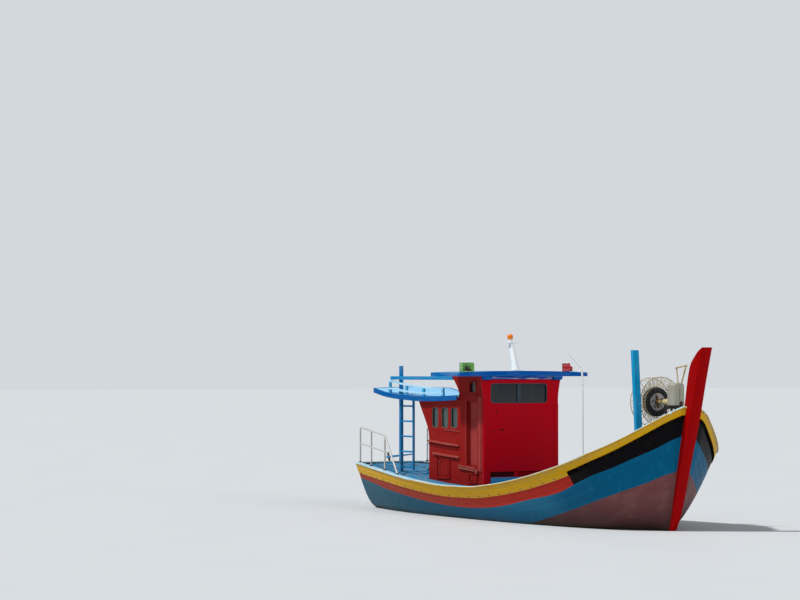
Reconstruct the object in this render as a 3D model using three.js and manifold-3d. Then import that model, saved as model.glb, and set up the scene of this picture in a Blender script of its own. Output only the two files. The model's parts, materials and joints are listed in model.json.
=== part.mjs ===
// Wooden inshore fishing boat: decked hull, raked stem post, wheelhouse, aft cabin, net hauler.
// Millimetres. +X forward, +Y to port, +Z up. The origin is on the waterline, on the centreline,
// under the front face of the wheelhouse.
import * as THREE from 'three';
import { mergeVertices } from 'three/addons/utils/BufferGeometryUtils.js';
import Module from 'manifold-3d';

const wasm = await Module();
wasm.setup();

const GAP = 0.4;
const SIDES = [
  { side: 'starboard', s: -1 },
  { side: 'port', s: 1 },
];

// Finishes: colour, roughness, metalness
const FINISH = {
  topside: [0x1c6f9c, 0.5, 0],
  bottom: [0x6b4148, 0.7, 0],
  yellow: [0xc9971f, 0.5, 0],
  deck: [0x2f93c4, 0.6, 0],
  lightBlue: [0x4fb4e0, 0.5, 0],
  deepBlue: [0x0a4a9c, 0.45, 0],
  red: [0xb01020, 0.45, 0],
  crimson: [0xa80c22, 0.42, 0],
  brick: [0x8e2018, 0.5, 0],
  white: [0xe6e6e0, 0.5, 0],
  glass: [0x1d2b33, 0.1, 0],
  pipe: [0xb8bcbc, 0.4, 0.8],
  iron: [0x4a4440, 0.6, 0.7],
  bronze: [0xa8793a, 0.4, 0.9],
  beige: [0xc3b9a2, 0.5, 0.2],
  tyre: [0x1b1b1b, 0.85, 0],
  green: [0x4f9d45, 0.5, 0],
  lampRed: [0xb02030, 0.4, 0],
  amber: [0xe07a10, 0.3, 0],
  engine: [0x4c6a58, 0.5, 0.5],
};

// Hull lines, one row a station from stern to bow.
// x: place at the sheer, b: half breadth at the sheer, z: sheer height, rake: how far a point
// moves forward for each unit it lies below the sheer, zr: bottom of the section at the keel,
// w: half width there, q: fullness of the section, h: height of the sheer above the deck edge
const STATIONS = [
  { x: -5600, b: 930, z: 1045, rake: 0.353, zr: -20, w: 60, q: 0.14, h: 75 },
  { x: -5000, b: 1080, z: 1010, rake: 0.2, zr: -60, w: 60, q: 0.17, h: 75 },
  { x: -4400, b: 1220, z: 975, rake: 0.1, zr: -170, w: 60, q: 0.21, h: 75 },
  { x: -3500, b: 1400, z: 915, rake: 0, zr: -330, w: 60, q: 0.26, h: 75 },
  { x: -2500, b: 1530, z: 830, rake: 0, zr: -440, w: 60, q: 0.29, h: 75 },
  { x: -1500, b: 1600, z: 755, rake: 0, zr: -450, w: 60, q: 0.3, h: 75 },
  { x: -500, b: 1640, z: 715, rake: 0, zr: -450, w: 60, q: 0.3, h: 75 },
  { x: 500, b: 1660, z: 725, rake: 0, zr: -450, w: 60, q: 0.3, h: 80 },
  { x: 1500, b: 1680, z: 810, rake: 0, zr: -450, w: 60, q: 0.3, h: 120 },
  { x: 2500, b: 1690, z: 955, rake: 0, zr: -445, w: 60, q: 0.34, h: 190 },
  { x: 3500, b: 1680, z: 1155, rake: 0, zr: -420, w: 60, q: 0.39, h: 290 },
  { x: 4200, b: 1640, z: 1330, rake: -0.08, zr: -360, w: 60, q: 0.43, h: 370 },
  { x: 4800, b: 1570, z: 1520, rake: -0.16, zr: -260, w: 60, q: 0.45, h: 440 },
  { x: 5040, b: 1410, z: 1640, rake: -0.19, zr: -210, w: 60, q: 0.45, h: 480 },
  { x: 5260, b: 1220, z: 1770, rake: -0.21, zr: -160, w: 60, q: 0.45, h: 520 },
  { x: 5510, b: 965, z: 1950, rake: -0.23, zr: -100, w: 62, q: 0.46, h: 560 },
  { x: 5760, b: 680, z: 2150, rake: -0.245, zr: -50, w: 66, q: 0.47, h: 600 },
  { x: 5980, b: 400, z: 2340, rake: -0.26, zr: -20, w: 70, q: 0.47, h: 640 },
  { x: 6070, b: 150, z: 2450, rake: -0.255, zr: 0, w: 74, q: 0.48, h: 660 },
];
const SECTION_STEPS = [0, 0.004, 0.03, 0.1, 0.22, 0.4, 0.62, 0.82, 1];
const DECK_CAMBER = 40;
const WALE = { thick: 28, deep: 211, under: 40 };
const PLANK_GAP = 4;
const BULWARK = { thick: 45 };
const CAP = { out: 45, inn: 85, thick: 34 };

// Stem post, one row a height. z, front: x of the front face, aft: x of the aft face, w: half width
const STEM_ROWS = [
  { z: -120, front: 5420, aft: 5330, w: 72 },
  { z: 0, front: 5520, aft: 5446, w: 76 },
  { z: 500, front: 5735, aft: 5574, w: 92 },
  { z: 1000, front: 5880, aft: 5702, w: 105 },
  { z: 1500, front: 6030, aft: 5829, w: 115 },
  { z: 2000, front: 6190, aft: 5957, w: 124 },
  { z: 2500, front: 6330, aft: 6085, w: 126 },
  { z: 2950, front: 6452, aft: 6162, w: 126 },
  { z: 3260, front: 6545, aft: 6255, w: 125 },
  { z: 3430, front: 6598, aft: 6400, w: 124 },
  { z: 3545, front: 6636, aft: 6535, w: 122 },
  { z: 3595, front: 6650, aft: 6640, w: 120 },
];

const KEEL = {
  bottom: -640,
  aft: -4560,
  halfWidth: 58,
  forefoot: [[5325, -125], [4855, -215], [4300, -470], [3600, -640]],
};
const PROPELLER = { x: -4820, z: -330, r: 220, hub: 48, length: 130, blades: 3, shaftR: 22 };
// The rudder turns on a line that follows the raked transom
const RUDDER = {
  x: -5320,
  z: -20,
  rake: 0.353,
  stockR: 26,
  top: 60,
  bottom: -560,
  chord: 420,
  thick: 44,
  head: 1230,
};
const TILLER = { length: 1050, wide: 84, deep: 50, rise: 90, behind: 55, below: 90 };

// Walls stand on the deck with this much under them
const WALL_FOOT = 4;
const HOUSE = { aft: -990, half: 950, wall: 35, top: 3028, flare: 75, flareFrom: 2560 };
const CABIN = { fore: -992, aft: -2310, half: 930, wall: 35 };
const ROOF = { fore: 135, aft: -1060, half: 1630, under: 3030, edge: 80, crown: 35 };
const CANOPY = { fore: -994, aft: -4640, half: 1030, camber: 30, thick: 45, fascia: 100 };
// Canopy edge height on its top side by place along the boat
const CANOPY_EDGE = [
  { x: -994, z: 2608 },
  { x: -1700, z: 2582 },
  { x: -2500, z: 2571 },
  { x: -3300, z: 2598 },
  { x: -4000, z: 2648 },
  { x: -4640, z: 2750 },
];

const boat = new THREE.Group();

function place(name, geometry, finish) {
  const [color, roughness, metalness] = FINISH[finish];
  const mesh = new THREE.Mesh(
    geometry,
    new THREE.MeshStandardMaterial({ color, roughness, metalness }),
  );
  mesh.name = name;
  boat.add(mesh);
  return mesh;
}

// Linear value of a column of a table at a place along its key column
function tableAt(rows, key, column, at) {
  const first = rows[0][key] < rows[rows.length - 1][key] ? rows : [...rows].reverse();
  if (at <= first[0][key]) return first[0][column];
  for (let i = 1; i < first.length; i += 1) {
    const [p, n] = [first[i - 1], first[i]];
    const share = (at - p[key]) / (n[key] - p[key]);
    if (at <= n[key]) return p[column] + (n[column] - p[column]) * share;
  }
  return first[first.length - 1][column];
}

function plain(geometry) {
  const g = geometry.index ? geometry.toNonIndexed() : geometry.clone();
  g.deleteAttribute('normal');
  g.deleteAttribute('uv');
  return mergeVertices(g, 1e-3);
}

function signedVolume(positions, triangles) {
  let sum = 0;
  for (const [a, b, c] of triangles) {
    const [p, q, r] = [positions[a], positions[b], positions[c]];
    sum += p.dot(new THREE.Vector3().crossVectors(q, r));
  }
  return sum;
}

function meshOf(positions, triangles) {
  const turned = signedVolume(positions, triangles) < 0;
  const g = new THREE.BufferGeometry();
  const flat = new Float32Array(positions.length * 3);
  positions.forEach((p, i) => p.toArray(flat, i * 3));
  g.setAttribute('position', new THREE.BufferAttribute(flat, 3));
  g.setIndex(triangles.flatMap(([a, b, c]) => (turned ? [a, c, b] : [a, b, c])));
  return g;
}

// Skin through rings of points, closed at both ends. flat gives an end ring as 2D points.
function loft(rings, flat = (p) => new THREE.Vector2(p.y, p.z)) {
  const n = rings[0].length;
  const positions = rings.flat();
  const triangles = [];
  for (let i = 0; i + 1 < rings.length; i += 1) {
    for (let j = 0; j < n; j += 1) {
      const k = (j + 1) % n;
      const [a, b, c, d] = [i * n + j, i * n + k, (i + 1) * n + k, (i + 1) * n + j];
      const ac = positions[a].distanceTo(positions[c]);
      const bd = positions[b].distanceTo(positions[d]);
      if (ac <= bd) triangles.push([a, b, c], [a, c, d]);
      else triangles.push([a, b, d], [b, c, d]);
    }
  }
  const edges = ([a, b, c]) => [`${a},${b}`, `${b},${c}`, `${c},${a}`];
  const taken = new Set(triangles.flatMap(edges));
  for (const [ring, start] of [[rings[0], 0], [rings[rings.length - 1], positions.length - n]]) {
    const cap = THREE.ShapeUtils.triangulateShape(ring.map(flat), []);
    const faces = cap.map((t) => t.map((v) => v + start));
    const clash = faces.some((t) => edges(t).some((edge) => taken.has(edge)));
    triangles.push(...faces.map(([a, b, c]) => (clash ? [a, c, b] : [a, b, c])));
  }
  return meshOf(positions, triangles);
}

function manifoldOf(geometry) {
  const g = plain(geometry);
  return new wasm.Manifold(new wasm.Mesh({
    numProp: 3,
    vertProperties: new Float32Array(g.attributes.position.array),
    triVerts: new Uint32Array(g.index.array),
  }));
}

function geometryOf(manifold) {
  const mesh = manifold.getMesh();
  const g = new THREE.BufferGeometry();
  g.setAttribute('position', new THREE.BufferAttribute(new Float32Array(mesh.vertProperties), 3));
  g.setIndex([...mesh.triVerts]);
  return g;
}

const joined = (...parts) => geometryOf(parts.map(manifoldOf).reduce((a, b) => a.add(b)));
const cutBy = (body, ...tools) => geometryOf(
  tools.map(manifoldOf).reduce((a, b) => a.subtract(b), manifoldOf(body)),
);

function block(x0, x1, y0, y1, z0, z1) {
  const g = new THREE.BoxGeometry(Math.abs(x1 - x0), Math.abs(y1 - y0), Math.abs(z1 - z0));
  return g.translate((x0 + x1) / 2, (y0 + y1) / 2, (z0 + z1) / 2);
}

// A round bar between two points
function bar(from, to, r0, r1 = r0, sides = 12) {
  const a = new THREE.Vector3(...from);
  const b = new THREE.Vector3(...to);
  const g = new THREE.CylinderGeometry(r1, r0, a.distanceTo(b), sides);
  g.applyQuaternion(new THREE.Quaternion().setFromUnitVectors(
    new THREE.Vector3(0, 1, 0),
    new THREE.Vector3().subVectors(b, a).normalize(),
  ));
  return g.translate((a.x + b.x) / 2, (a.y + b.y) / 2, (a.z + b.z) / 2);
}

function roundedRect(target, x0, x1, z0, z1, r) {
  target.moveTo(x0 + r, z0);
  target.lineTo(x1 - r, z0);
  target.absarc(x1 - r, z0 + r, r, -Math.PI / 2, 0);
  target.lineTo(x1, z1 - r);
  target.absarc(x1 - r, z1 - r, r, 0, Math.PI / 2);
  target.lineTo(x0 + r, z1);
  target.absarc(x0 + r, z1 - r, r, Math.PI / 2, Math.PI);
  target.lineTo(x0, z0 + r);
  target.absarc(x0 + r, z0 + r, r, Math.PI, Math.PI * 1.5);
  return target;
}

function outlineOf(points) {
  const shape = new THREE.Shape();
  points.forEach(([a, b], i) => (i ? shape.lineTo(a, b) : shape.moveTo(a, b)));
  return shape;
}

const extruded = (shape, depth) => new THREE.ExtrudeGeometry(shape, {
  depth,
  bevelEnabled: false,
  curveSegments: 5,
});

// A board cut from a shape drawn in X and Z, its faces at y0 and y1
function boardXZ(shape, y0, y1) {
  const g = extruded(shape, Math.abs(y1 - y0));
  return g.rotateX(Math.PI / 2).translate(0, Math.max(y0, y1), 0);
}

// A board cut from a shape drawn in Y and Z, its faces at x0 and x1
function boardYZ(shape, x0, x1) {
  const g = extruded(shape, Math.abs(x1 - x0));
  return g.rotateX(Math.PI / 2).rotateZ(Math.PI / 2).translate(Math.min(x0, x1), 0, 0);
}

// Hull surface: the point of a station at a height
function sideAt(row, z, out = 0) {
  const t = THREE.MathUtils.clamp((z - row.zr) / (row.z - row.zr), 0, 1);
  return new THREE.Vector3(row.x + row.rake * (row.z - z), row.w + (row.b - row.w) * t ** row.q + out, z);
}

const deckEdge = (row) => row.z - row.h;
const strakeTop = (row) => row.z - WALE.under;
const strakeFoot = (row) => strakeTop(row) - WALE.deep;
const shoulder = (row) => Math.min(strakeFoot(row), deckEdge(row) - 8);

function hullGeometry() {
  const rings = STATIONS.map((row) => {
    const top = deckEdge(row);
    const half = SECTION_STEPS.map((t) => sideAt(row, row.zr + t * (shoulder(row) - row.zr)));
    half.push(sideAt(row, top));
    const edge = half[half.length - 1];
    const crown = [0.5, 0, -0.5].map((k) => {
      const z = top + DECK_CAMBER * (1 - k * k);
      return new THREE.Vector3(row.x + row.rake * (row.z - z), edge.y * k, z);
    });
    const other = [...half].reverse().map((p) => new THREE.Vector3(p.x, -p.y, p.z));
    return [...half, ...crown, ...other];
  });
  return loft(rings);
}

// A plank along the side: its faces lie off the hull surface by near and far, and it has a row
// of points at each of its levels
function sidePlank(s, rows, levels, near, far) {
  const normals = rows.map((row, i) => {
    const p = rows[Math.max(i - 1, 0)];
    const n = rows[Math.min(i + 1, rows.length - 1)];
    return new THREE.Vector2(-(n.b - p.b), n.x - p.x).normalize();
  });
  const rings = rows.map((row, i) => {
    const pick = (z, off) => {
      const base = sideAt(row, z);
      return new THREE.Vector3(base.x + normals[i].x * off, s * (base.y + normals[i].y * off), z);
    };
    const heights = levels.map((level) => level(row));
    return [...heights.map((z) => pick(z, far)), ...heights.reverse().map((z) => pick(z, near))];
  });
  return loft(rings);
}

const named = (base, side) => `${base}_${side}`;
const rowsBetween = (x0, x1) => STATIONS.filter((row) => row.x >= x0 && row.x <= x1);
const sheer = (x) => tableAt(STATIONS, 'x', 'z', x);
const breadth = (x) => tableAt(STATIONS, 'x', 'b', x);
// Deck edge line: where the stations meet the deck
const DECK = STATIONS.map((row) => {
  const edge = sideAt(row, deckEdge(row));
  return { x: edge.x, z: edge.z, b: edge.y };
});
const deckAt = (x, y) => {
  const k = y / tableAt(DECK, 'x', 'b', x);
  return tableAt(DECK, 'x', 'z', x) + DECK_CAMBER * (1 - k * k);
};
// Foot of an athwartships wall, from one side to the other, and of a side wall
const footAcross = (x, ys) => ys.map((y) => [y, deckAt(x, y) + WALL_FOOT]);
const footAlong = (y, xs) => xs.map((x) => [x, deckAt(x, y) + WALL_FOOT]);

// Hull, with the engine well and the two fish holds sunk in the deck
const WELL = { x0: -2130, x1: -1130, half: 360, floor: -160 };
const HOLDS = {
  aft: { x0: -3080, x1: -2500, half: 430, floor: 150 },
  fore: { x0: 1800, x1: 2500, half: 400, floor: 120 },
};
const pit = (p, half) => block(p.x0, p.x1, -half, half, p.floor, 2000);
place('hull', cutBy(
  hullGeometry(),
  pit(WELL, WELL.half),
  pit(HOLDS.aft, HOLDS.aft.half),
  pit(HOLDS.fore, HOLDS.fore.half),
), 'topside');

place('engine', block(WELL.x0 + 40, WELL.x1 - 40, -300, 300, WELL.floor + GAP, 620), 'engine');

// Keel, its top along the bottom of the hull
const bottomLine = STATIONS.map((row) => [row.x + row.rake * (row.z - row.zr), row.zr - GAP]);
const keelTop = bottomLine.filter(([x]) => x > KEEL.aft && x < 5400).reverse();
place('keel', boardXZ(outlineOf([
  [5408, -16],
  ...keelTop,
  [KEEL.aft, -168],
  [KEEL.aft, KEEL.bottom],
  ...[...KEEL.forefoot].reverse(),
]), -KEEL.halfWidth, KEEL.halfWidth), 'bottom');

place('stem_post', loft(STEM_ROWS.map((row) => [
  new THREE.Vector3(row.front, -row.w, row.z),
  new THREE.Vector3(row.front, row.w, row.z),
  new THREE.Vector3(row.aft, row.w, row.z),
  new THREE.Vector3(row.aft, -row.w, row.z),
]), (p) => new THREE.Vector2(p.x, p.y)), 'red');

for (const { side, s } of SIDES) {
  const strakeMid = (row) => Math.max(deckEdge(row), strakeFoot(row) + 5);
  const strake = sidePlank(s, STATIONS, [strakeFoot, strakeMid, strakeTop], PLANK_GAP, WALE.thick);
  place(named('sheer_strake', side), strake, 'yellow');
  const foot = (row) => deckEdge(row) + 12;
  const bulwarkMid = (row) => Math.max(foot(row) + 8, strakeFoot(row));
  const bulwarkRows = rowsBetween(1000, 6200);
  const bulwarkLevels = [foot, bulwarkMid, strakeTop];
  const bulwark = sidePlank(s, bulwarkRows, bulwarkLevels, -BULWARK.thick, -GAP);
  place(named('bulwark', side), bulwark, 'deck');
  const cap = sidePlank(s, STATIONS, [(row) => row.z - CAP.thick, (row) => row.z], -CAP.inn, CAP.out);
  place(named('cap_rail', side), cap, 'lightBlue');
}
place('stern_cap', block(-5650, -5540, -835, 835, 1013, 1046), 'lightBlue');

// Propeller with its shaft, turning in the after end of the keel
function propellerGeometry() {
  const { x, z, r, hub, length, blades } = PROPELLER;
  const core = bar([x - length / 2, 0, z], [x + length / 2, 0, z], hub, hub, 18);
  const parts = [core, bar([x - length / 2 - 60, 0, z], [x - length / 2 + 5, 0, z], 12, hub * 0.9, 12)];
  for (let i = 0; i < blades; i += 1) {
    const blade = new THREE.SphereGeometry(1, 14, 8);
    blade.scale(9, 78, (r - hub) / 2 + 8);
    blade.rotateZ(THREE.MathUtils.degToRad(35));
    blade.translate(0, 0, (r + hub) / 2 - 8);
    blade.rotateX((i * 2 * Math.PI) / blades);
    blade.translate(x, 0, z);
    parts.push(blade);
  }
  parts.push(bar([x, 0, z], [KEEL.aft - 6, 0, z], PROPELLER.shaftR, PROPELLER.shaftR, 14));
  return joined(...parts);
}
place('propeller', propellerGeometry(), 'bronze');

// Rudder: a plank blade on an iron stock that follows the transom
const rudderX = (z) => RUDDER.x - RUDDER.rake * (z - RUDDER.z);
const stock = (z0, z1, r) => bar([rudderX(z0), 0, z0], [rudderX(z1), 0, z1], r);
place('rudder', joined(
  boardXZ(outlineOf([
    [rudderX(RUDDER.top) + 20, RUDDER.top],
    [rudderX(RUDDER.bottom) + 60, RUDDER.bottom],
    [rudderX(RUDDER.bottom) - RUDDER.chord, RUDDER.bottom + 30],
    [rudderX(RUDDER.top) - RUDDER.chord * 0.7, RUDDER.top],
  ]), -RUDDER.thick / 2, RUDDER.thick / 2),
  stock(RUDDER.bottom - 65, RUDDER.head, RUDDER.stockR),
), 'brick');
const tillerZ = RUDDER.head - TILLER.below;
const tillerX = rudderX(tillerZ);
const stockHole = RUDDER.stockR + GAP;
place('tiller', cutBy(
  boardXZ(outlineOf([
    [tillerX - TILLER.behind, tillerZ - TILLER.deep / 2],
    [tillerX - TILLER.behind, tillerZ + TILLER.deep / 2],
    [tillerX + TILLER.length, tillerZ + TILLER.rise + TILLER.deep / 4],
    [tillerX + TILLER.length, tillerZ + TILLER.rise - TILLER.deep / 4],
  ]), -TILLER.wide / 2, TILLER.wide / 2),
  stock(tillerZ - 200, tillerZ + 200, stockHole),
), 'brick');

// Shoe that carries the heel of the rudder, under the propeller
place('rudder_shoe', cutBy(
  block(KEEL.aft - GAP, rudderX(RUDDER.bottom) - 70, -45, 45, -640, -606),
  stock(-700, -570, RUDDER.stockR + 6),
), 'iron');

// Wheelhouse
const HOUSE_WINDOW = { y0: -770, y1: 670, z0: 2455, z1: 2880, r: 75 };
const HOUSE_SLOT = { half: 780, z0: 880, z1: 985 };
function houseFront() {
  const half = HOUSE.half;
  const shape = outlineOf([
    ...footAcross(0, [-half, -half / 2, 0, half / 2, half]),
    [half, HOUSE.flareFrom],
    [half + HOUSE.flare, HOUSE.top],
    [-half - HOUSE.flare, HOUSE.top],
    [-half, HOUSE.flareFrom],
  ]);
  const w = HOUSE_WINDOW;
  const slot = HOUSE_SLOT;
  shape.holes.push(roundedRect(new THREE.Path(), w.y0, w.y1, w.z0, w.z1, w.r));
  shape.holes.push(roundedRect(new THREE.Path(), -slot.half, slot.half, slot.z0, slot.z1, 12));
  return boardYZ(shape, -HOUSE.wall, 0);
}
place('wheelhouse_front', houseFront(), 'crimson');
place('wheelhouse_glass_front', block(
  -HOUSE.wall - 8, -HOUSE.wall - 2,
  HOUSE_WINDOW.y0 - 30, HOUSE_WINDOW.y1 + 30, HOUSE_WINDOW.z0 - 30, HOUSE_WINDOW.z1 + 30,
), 'glass');
place('front_sill', block(3, 33, -780, 780, deckAt(20, 0) + 6, HOUSE_SLOT.z0 - 8), 'deck');

const DOOR = { x0: -700, x1: -250, z0: 1120, z1: 2520, lap: 25, face: 878, thick: 28 };
// Aft edge of the side where it sweeps out under the roof
const SIDE_BRACKET = [[-1300, HOUSE.top], [-1200, 2930], [-1120, 2845], [-1043, 2750]];
const HOUSE_PORTHOLE = { x0: -570, x1: -320, z0: 2690, z1: 2905, r: 45 };
for (const { side, s } of SIDES) {
  const shape = outlineOf([
    [-HOUSE.wall - GAP, HOUSE.top],
    ...SIDE_BRACKET,
    [HOUSE.aft, 2645],
    ...footAlong(HOUSE.half, [HOUSE.aft, -HOUSE.wall - GAP]),
  ]);
  shape.holes.push(roundedRect(new THREE.Path(), DOOR.x0, DOOR.x1, DOOR.z0, DOOR.z1, 10));
  const w = HOUSE_PORTHOLE;
  shape.holes.push(roundedRect(new THREE.Path(), w.x0, w.x1, w.z0, w.z1, w.r));
  const wall = boardXZ(shape, s * HOUSE.half, s * (HOUSE.half - HOUSE.wall));
  place(named('wheelhouse_side', side), wall, 'brick');
  place(named('sliding_door', side), block(
    DOOR.x0 - DOOR.lap, DOOR.x1 + DOOR.lap,
    s * DOOR.face, s * (DOOR.face - DOOR.thick), DOOR.z0 - 20, DOOR.z1 + 20,
  ), 'brick');
  const inner = HOUSE.half - HOUSE.wall;
  place(named('porthole_glass', side), block(
    w.x0 - 20, w.x1 + 20, s * (inner - 1), s * (inner - 7), w.z0 - 20, w.z1 + 20,
  ), 'glass');
}

// Wheelhouse after wall, over the cabin, with a doorway down to it
const BACK = { half: 840, x0: -985, x1: -955, doorHalf: 560, doorTop: 2450 };
place('wheelhouse_back', boardYZ(outlineOf([
  ...footAcross(BACK.x0, [-BACK.half, -BACK.doorHalf]),
  [-BACK.doorHalf, BACK.doorTop],
  [BACK.doorHalf, BACK.doorTop],
  ...footAcross(BACK.x0, [BACK.doorHalf, BACK.half]),
  [BACK.half, HOUSE.top],
  [-BACK.half, HOUSE.top],
]), BACK.x0, BACK.x1), 'brick');

function roofGeometry() {
  const top = [-1, -0.75, -0.5, -0.25, 0, 0.25, 0.5, 0.75, 1].map((k) => [
    k * ROOF.half, ROOF.under + ROOF.edge + ROOF.crown * (1 - k * k),
  ]);
  const shape = outlineOf([[ROOF.half, ROOF.under], [-ROOF.half, ROOF.under], ...top]);
  return boardYZ(shape, ROOF.aft, ROOF.fore);
}
place('wheelhouse_roof', roofGeometry(), 'deepBlue');

// Long beams from the brackets of the wheelhouse sides aft to the posts
const BEAM = { aft: -3935, y0: 910, y1: 990, z0: 2950, z1: 3028 };
const POST = { x: -3640, wide: 75, y: 871, top: 3260 };
for (const { side, s } of SIDES) {
  place(named('roof_beam', side), boardXZ(outlineOf([
    [BEAM.aft, BEAM.z0],
    [-1224, BEAM.z0],
    [SIDE_BRACKET[0][0] - 3, BEAM.z1],
    [BEAM.aft, BEAM.z1],
  ]), s * BEAM.y0, s * BEAM.y1), 'lightBlue');
}

// Aft cabin
const canopyEdge = (x) => tableAt(CANOPY_EDGE, 'x', 'z', x);
const canopyTop = (x, y) => canopyEdge(x) + CANOPY.camber * (1 - (y / CANOPY.half) ** 2);
const canopyUnder = (x, y) => canopyTop(x, y) - CANOPY.thick;
const CABIN_WINDOWS = [
  { x0: -2185, x1: -1915 },
  { x0: -1790, x1: -1500 },
  { x0: -1390, x1: -1110 },
];
const CABIN_WINDOW_Z = { z0: 1905, z1: 2345, r: 60 };
const SIDE_HATCH = { x0: -1900, x1: -1480, z0: 850, z1: 1240 };
for (const { side, s } of SIDES) {
  const underCanopy = (x) => [x, canopyUnder(x, CABIN.half) - 10];
  const shape = outlineOf([
    ...[CABIN.fore - GAP, -1500, -2000, -2400, -2790].map(underCanopy),
    [-2620, 2270],
    [-2470, 2060],
    [-2350, 1860],
    [CABIN.aft, 1700],
    ...footAlong(CABIN.half, [CABIN.aft, -1650, CABIN.fore - GAP]),
  ]);
  const { z0, z1, r } = CABIN_WINDOW_Z;
  for (const w of CABIN_WINDOWS) {
    shape.holes.push(roundedRect(new THREE.Path(), w.x0, w.x1, z0, z1, r));
  }
  const h = SIDE_HATCH;
  shape.holes.push(roundedRect(new THREE.Path(), h.x0, h.x1, h.z0, h.z1, 6));
  const wall = boardXZ(shape, s * CABIN.half, s * (CABIN.half - CABIN.wall));
  place(named('cabin_side', side), wall, 'brick');
  const inner = CABIN.half - CABIN.wall - 2;
  place(named('cabin_glass', side), block(
    -2215, -1080, s * inner, s * (inner - 6), z0 - 30, z1 + 30,
  ), 'glass');
  place(named('side_hatch', side), block(
    h.x0 + 6, h.x1 - 6, s * (CABIN.half + 2), s * (CABIN.half - 24), h.z0 + 6, h.z1 - 6,
  ), 'brick');
}

// Cabin after wall with its door
const CABIN_DOOR = { y0: -330, y1: 330, z0: 1070, z1: 2440, thick: 30 };
const aftHalf = CABIN.half - CABIN.wall - GAP;
place('cabin_back', boardYZ((() => {
  const tops = [-1, -0.5, 0, 0.5, 1].map((k) => [k * aftHalf, canopyUnder(CABIN.aft, k * aftHalf) - 8]);
  const feet = footAcross(CABIN.aft, [aftHalf, aftHalf / 2, 0, -aftHalf / 2, -aftHalf]);
  const shape = outlineOf([...feet, ...tops]);
  const d = CABIN_DOOR;
  shape.holes.push(roundedRect(new THREE.Path(), d.y0, d.y1, d.z0, d.z1, 6));
  return shape;
})(), CABIN.aft, CABIN.aft + CABIN.wall), 'brick');
place('cabin_door', block(
  CABIN.aft - 4, CABIN.aft - 4 + CABIN_DOOR.thick,
  CABIN_DOOR.y0 + 7, CABIN_DOOR.y1 - 7, CABIN_DOOR.z0 + 7, CABIN_DOOR.z1 - 7,
), 'brick');

// Canopy, a slightly crowned sheet with deeper edges
function canopyRing(x) {
  const ks = [-1, -0.97, -0.94, -0.7, -0.35, 0, 0.35, 0.7, 0.94, 0.97, 1];
  const top = ks.map((k) => new THREE.Vector3(x, k * CANOPY.half, canopyTop(x, k * CANOPY.half)));
  const under = [...ks].reverse().map((k) => {
    const drop = Math.abs(k) > 0.95 ? CANOPY.fascia : CANOPY.thick;
    return new THREE.Vector3(x, k * CANOPY.half, canopyTop(x, k * CANOPY.half) - drop);
  });
  return [...top, ...under];
}
const POST_HOLE = POST.wide / 2 + 4;
const postHole = (s) => block(
  POST.x - POST_HOLE, POST.x + POST_HOLE, s * (POST.y - POST_HOLE), s * (POST.y + POST_HOLE), 2000, 3200,
);
place('canopy', cutBy(
  loft(CANOPY_EDGE.map(({ x }) => canopyRing(x))), postHole(-1), postHole(1),
), 'lightBlue');

// Rails on the canopy, higher towards the stern
const RAIL = { xs: [-1680, -2510, -3260, -4000], y: 925, post: 46, board: 40, thick: 24 };
const railHigh = (x) => 190 + (RAIL.xs[0] - x) * 0.043;
for (const { side, s } of SIDES) {
  const parts = [];
  const foot = (x) => Math.max(canopyTop(x - 32, RAIL.y), canopyTop(x + 32, RAIL.y)) + 2;
  for (const x of RAIL.xs) {
    const top = foot(x) + railHigh(x) - 5;
    parts.push(block(x - 32, x + 32, s * RAIL.y, s * (RAIL.y + RAIL.post), foot(x), top));
  }
  for (const level of [0.42, 1]) {
    const upper = RAIL.xs.map((x, i) => {
      const end = [25, 0, 0, -25][i];
      return [x + end, foot(x) + railHigh(x) * level];
    });
    const lower = upper.map(([x, z]) => [x, z - RAIL.board]);
    const shape = outlineOf([...lower, ...upper.reverse()]);
    parts.push(boardXZ(shape, s * (RAIL.y + 12), s * (RAIL.y + 12 + RAIL.thick)));
  }
  place(named('canopy_rail', side), joined(...parts), 'lightBlue');
}

for (const { side, s } of SIDES) {
  const foot = deckAt(POST.x, POST.y) + 6;
  const w = POST.wide / 2;
  place(named('aft_post', side), block(
    POST.x - w, POST.x + w, s * (POST.y - w), s * (POST.y + w), foot, POST.top,
  ), 'lightBlue');
}

// Ladder between the starboard post and its own stile
const LADDER = { x: -3090, y: -871, wide: 45, foot: 940, top: 2500, rungs: 5, first: 980, step: 340 };
place('ladder', (() => {
  const w = LADDER.wide / 2;
  const parts = [block(LADDER.x - w, LADDER.x + w, LADDER.y - w, LADDER.y + w, LADDER.foot, LADDER.top)];
  for (let i = 0; i < LADDER.rungs; i += 1) {
    const z = LADDER.first + i * LADDER.step;
    parts.push(block(POST.x + POST.wide / 2 + GAP, LADDER.x, LADDER.y - 15, LADDER.y + 15, z, z + 38));
  }
  return joined(...parts);
})(), 'lightBlue');

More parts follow.
